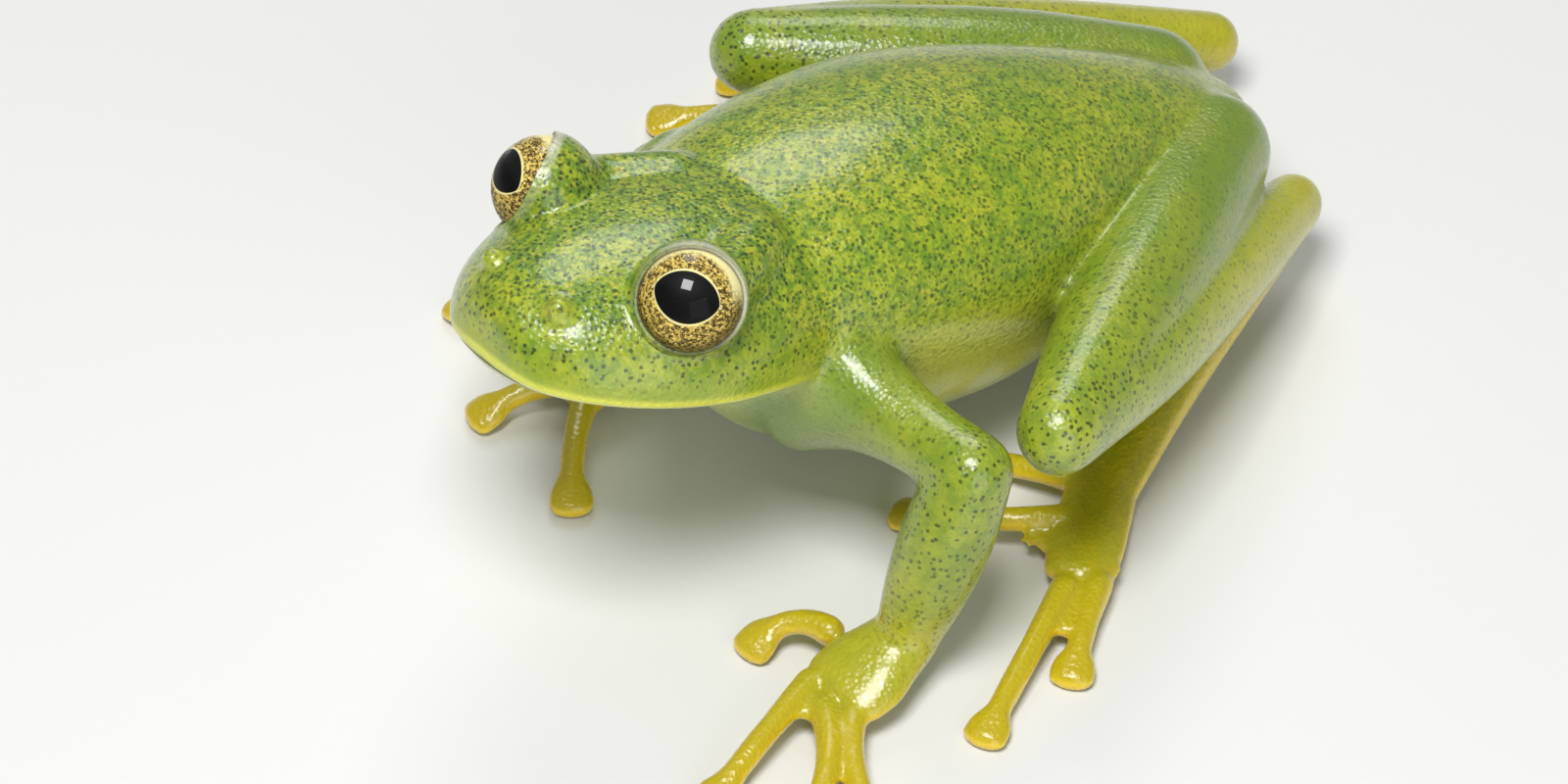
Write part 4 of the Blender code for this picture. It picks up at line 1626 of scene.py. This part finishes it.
@dataclass
class Eye:
    """One eyeball, with the ways that its pupil looks and lies in the head's axes."""

    head: Head
    side: Side
    gaze: Triple
    along: Triple
    glaze: EyeGlaze
    segments: int = 96
    rings: int = 72
    cornea: float = 0.02
    cornea_rise: float = 4.0
    cornea_edge: float = 0.5
    # Reach of the painted shade on the eyeball at the lids' edge.
    line_edge: Pair = (0.10, 0.02)

    def build(self) -> bpy.types.Object:
        """Make the eyeball, with its Z axis out through the pupil and painted shade along the lids' edge.

        Returns:
            The eyeball, in its own modelling axes.
        """
        form = bmesh.new()
        radius = self.head.eye_radius
        bmesh.ops.create_uvsphere(form, u_segments=self.segments, v_segments=self.rings, radius=radius)
        for vert in form.verts:
            ahead = vert.co.z / radius
            if ahead > self.cornea_edge:
                vert.co *= 1 - self.cornea * (1 - ahead) * self.cornea_rise * (ahead - self.cornea_edge)
        place = self.matrix()
        lids = np.array(self.head.matrix().to_3x3() @ self.head.facing(self.side))
        own = np.array([vert.co for vert in form.verts])
        # Painted shade on the eyeball along and behind the lids' edge.
        line = step(own @ np.array(place.to_3x3()).T @ lids - self.head.lid_ahead, *self.line_edge)
        bmesh.ops.scale(form, verts=form.verts, vec=(MM, MM, MM))
        eye = form_object(f"eyeball_{self.side.word}", form)
        layer = eye.data.attributes.new("lid_line", "FLOAT", "POINT")
        layer.data.foreach_set("value", line.astype(np.float32))
        place.translation *= MM
        eye.matrix_world = place
        return eye

    def matrix(self) -> Matrix:
        """Place of the eyeball, with Z through the pupil and X along the pupil."""
        across = self.head.matrix()
        ahead = (across.to_3x3() @ Vector(self.gaze)).normalized()
        back = across.to_3x3() @ Vector(self.along)
        along = (back - ahead * ahead.dot(back)).normalized() * self.side.value
        turn = Matrix((along, ahead.cross(along), ahead)).transposed().to_4x4()
        return Matrix.Translation(across @ self.head.eye(self.side)) @ turn

    def dress(self, eye: bpy.types.Object) -> None:
        """Put the finish on the eyeball."""
        eye.data.materials.append(self.glaze.make())
        eye.data.shade_smooth()


@dataclass(frozen=True)
class Lamp:
    """Soft square light: the way to it from the frog, distance and side in millimetres, and watts."""

    name: str
    direction: Triple
    distance: float
    side: float
    power: float

    def hang(self, target: Vector) -> None:
        """Hang the light so that it faces a place, given in millimetres."""
        lamp = bpy.data.lights.new(self.name, "AREA")
        lamp.shape = "SQUARE"
        lamp.size = self.side * MM
        lamp.energy = self.power
        item = link(self.name, lamp)
        way = Vector(self.direction).normalized()
        item.location = (target + way * self.distance) * MM
        item.rotation_mode = "QUATERNION"
        item.rotation_quaternion = way.to_track_quat("Z", "Y")


@dataclass
class Studio:
    """Floor, lights and camera."""

    azimuth: float = 54.75
    elevation: float = 45.8
    distance: float = 170.0
    target: Triple = (1.872, -4.005, 4.036)
    focal_pixels: float = 6698.0
    sensor: float = 36.0
    clip: Pair = (0.005, 10.0)
    floor_size: float = 2.5
    floor_drop: float = 0.02
    floor_roughness: float = 0.7
    world_colour: Triple = (0.93, 0.96, 1.0)
    world_strength: float = 0.22
    lamps: tuple = (
        Lamp("key_light", (0.195, -0.26, 0.931), 150.0, 55.0, 0.19),
        Lamp("side_light", (-0.62, 0.45, 0.80), 220.0, 90.0, 0.10),
        Lamp("low_light", (0.95, -0.25, 0.30), 220.0, 160.0, 0.14),
    )

    def build(self, shift: Vector) -> None:
        """Set the scene up.

        Args:
            shift: Place of the solids' origin in the modelling axes.
        """
        target = Vector(self.target) - shift
        self.floor()
        self.world()
        for lamp in self.lamps:
            lamp.hang(target)
        self.camera(target)
        bpy.context.scene.view_settings.view_transform = "Standard"

    def floor(self) -> None:
        """Lay the pale floor."""
        form = bmesh.new()
        bmesh.ops.create_grid(form, x_segments=1, y_segments=1, size=self.floor_size / 2)
        bmesh.ops.translate(form, verts=form.verts, vec=(0, 0, -self.floor_drop * MM))
        floor = form_object("studio_floor", form)
        board = Board("studio_floor")
        board.set({"Base Color": Hue.FLOOR, "Roughness": self.floor_roughness})
        floor.data.materials.append(board.material)

    def world(self) -> None:
        """Give the soft light from all round."""
        world = bpy.data.worlds.new("studio")
        bpy.context.scene.world = world
        world.use_nodes = True
        background = world.node_tree.nodes["Background"]
        background.inputs["Color"].default_value = (*self.world_colour, 1.0)
        background.inputs["Strength"].default_value = self.world_strength

    def camera(self, target: Vector) -> None:
        """Set the camera up so that it looks at a place, given in millimetres."""
        azimuth, elevation = math.radians(self.azimuth), math.radians(self.elevation)
        flat = math.cos(elevation)
        back = Vector((math.sin(azimuth) * flat, -math.cos(azimuth) * flat, math.sin(elevation)))
        right = Vector((math.cos(azimuth), math.sin(azimuth), 0))
        lens = bpy.data.cameras.new("camera")
        lens.sensor_width = self.sensor
        lens.lens = self.focal_pixels / PICTURE_WIDTH * self.sensor
        lens.clip_start, lens.clip_end = self.clip
        item = link("camera", lens)
        matrix = Matrix((right, back.cross(right), back)).transposed().to_4x4()
        matrix.translation = (target + back * self.distance) * MM
        item.matrix_world = matrix
        bpy.context.scene.camera = item


def solids_origin(head: Head) -> Vector:
    """Place of the solids' origin in the modelling axes, from the ball of the left eye.

    Args:
        head: The head that holds the eye.

    Returns:
        The place in millimetres.
    """
    flat_margin = 0.01
    places = corners(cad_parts["eye_left"])
    for _ in range(2):
        table = np.c_[2 * places, np.ones(len(places))]
        middle = np.linalg.lstsq(table, (places**2).sum(axis=1), rcond=None)[0][:3]
        away = np.linalg.norm(places - middle, axis=1)
        places = places[away > head.eye_radius - flat_margin]
    return head.matrix() @ head.eye(Side.LEFT) - Vector(middle)


def flesh_nodes() -> list:
    """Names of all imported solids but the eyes."""
    return sorted(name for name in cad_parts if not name.startswith("eye"))


def main() -> None:
    """Build and dress the frog, piece by piece."""
    logging.basicConfig(level=logging.INFO, format="%(name)s: %(message)s")
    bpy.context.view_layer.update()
    head = Head()
    shift = solids_origin(head)
    log.info("solids' origin at %s mm", tuple(round(value, 4) for value in shift))
    skin_plan = Skin(head, Trunk(), Limbs())
    skin = skin_plan.build()
    skin_plan.dress(skin)
    skin.matrix_world = Matrix.Translation(-shift * MM)
    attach(skin, "root")
    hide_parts(*flesh_nodes())
    log.info("%s: %d faces", skin.name, len(skin.data.polygons))
    left_glaze = EyeGlaze("left_eye_glaze", 0.84, 0.62)
    right_glaze = EyeGlaze("right_eye_glaze", 0.72, 0.50)
    eyes = (
        Eye(head, Side.LEFT, (0.558, -0.652, 0.513), (0.791, 0.605, -0.091), left_glaze),
        Eye(head, Side.RIGHT, (-0.267, -0.824, 0.500), (-0.903, 0.396, 0.169), right_glaze),
    )
    for plan in eyes:
        eye = plan.build()
        plan.dress(eye)
        eye.matrix_world = Matrix.Translation(-shift * MM) @ eye.matrix_world
        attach(eye, "root")
        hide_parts(f"eye_{plan.side.word}")
        log.info("%s: %d faces", eye.name, len(eye.data.polygons))
    Studio().build(shift)


if __name__ == "__main__":
    main()
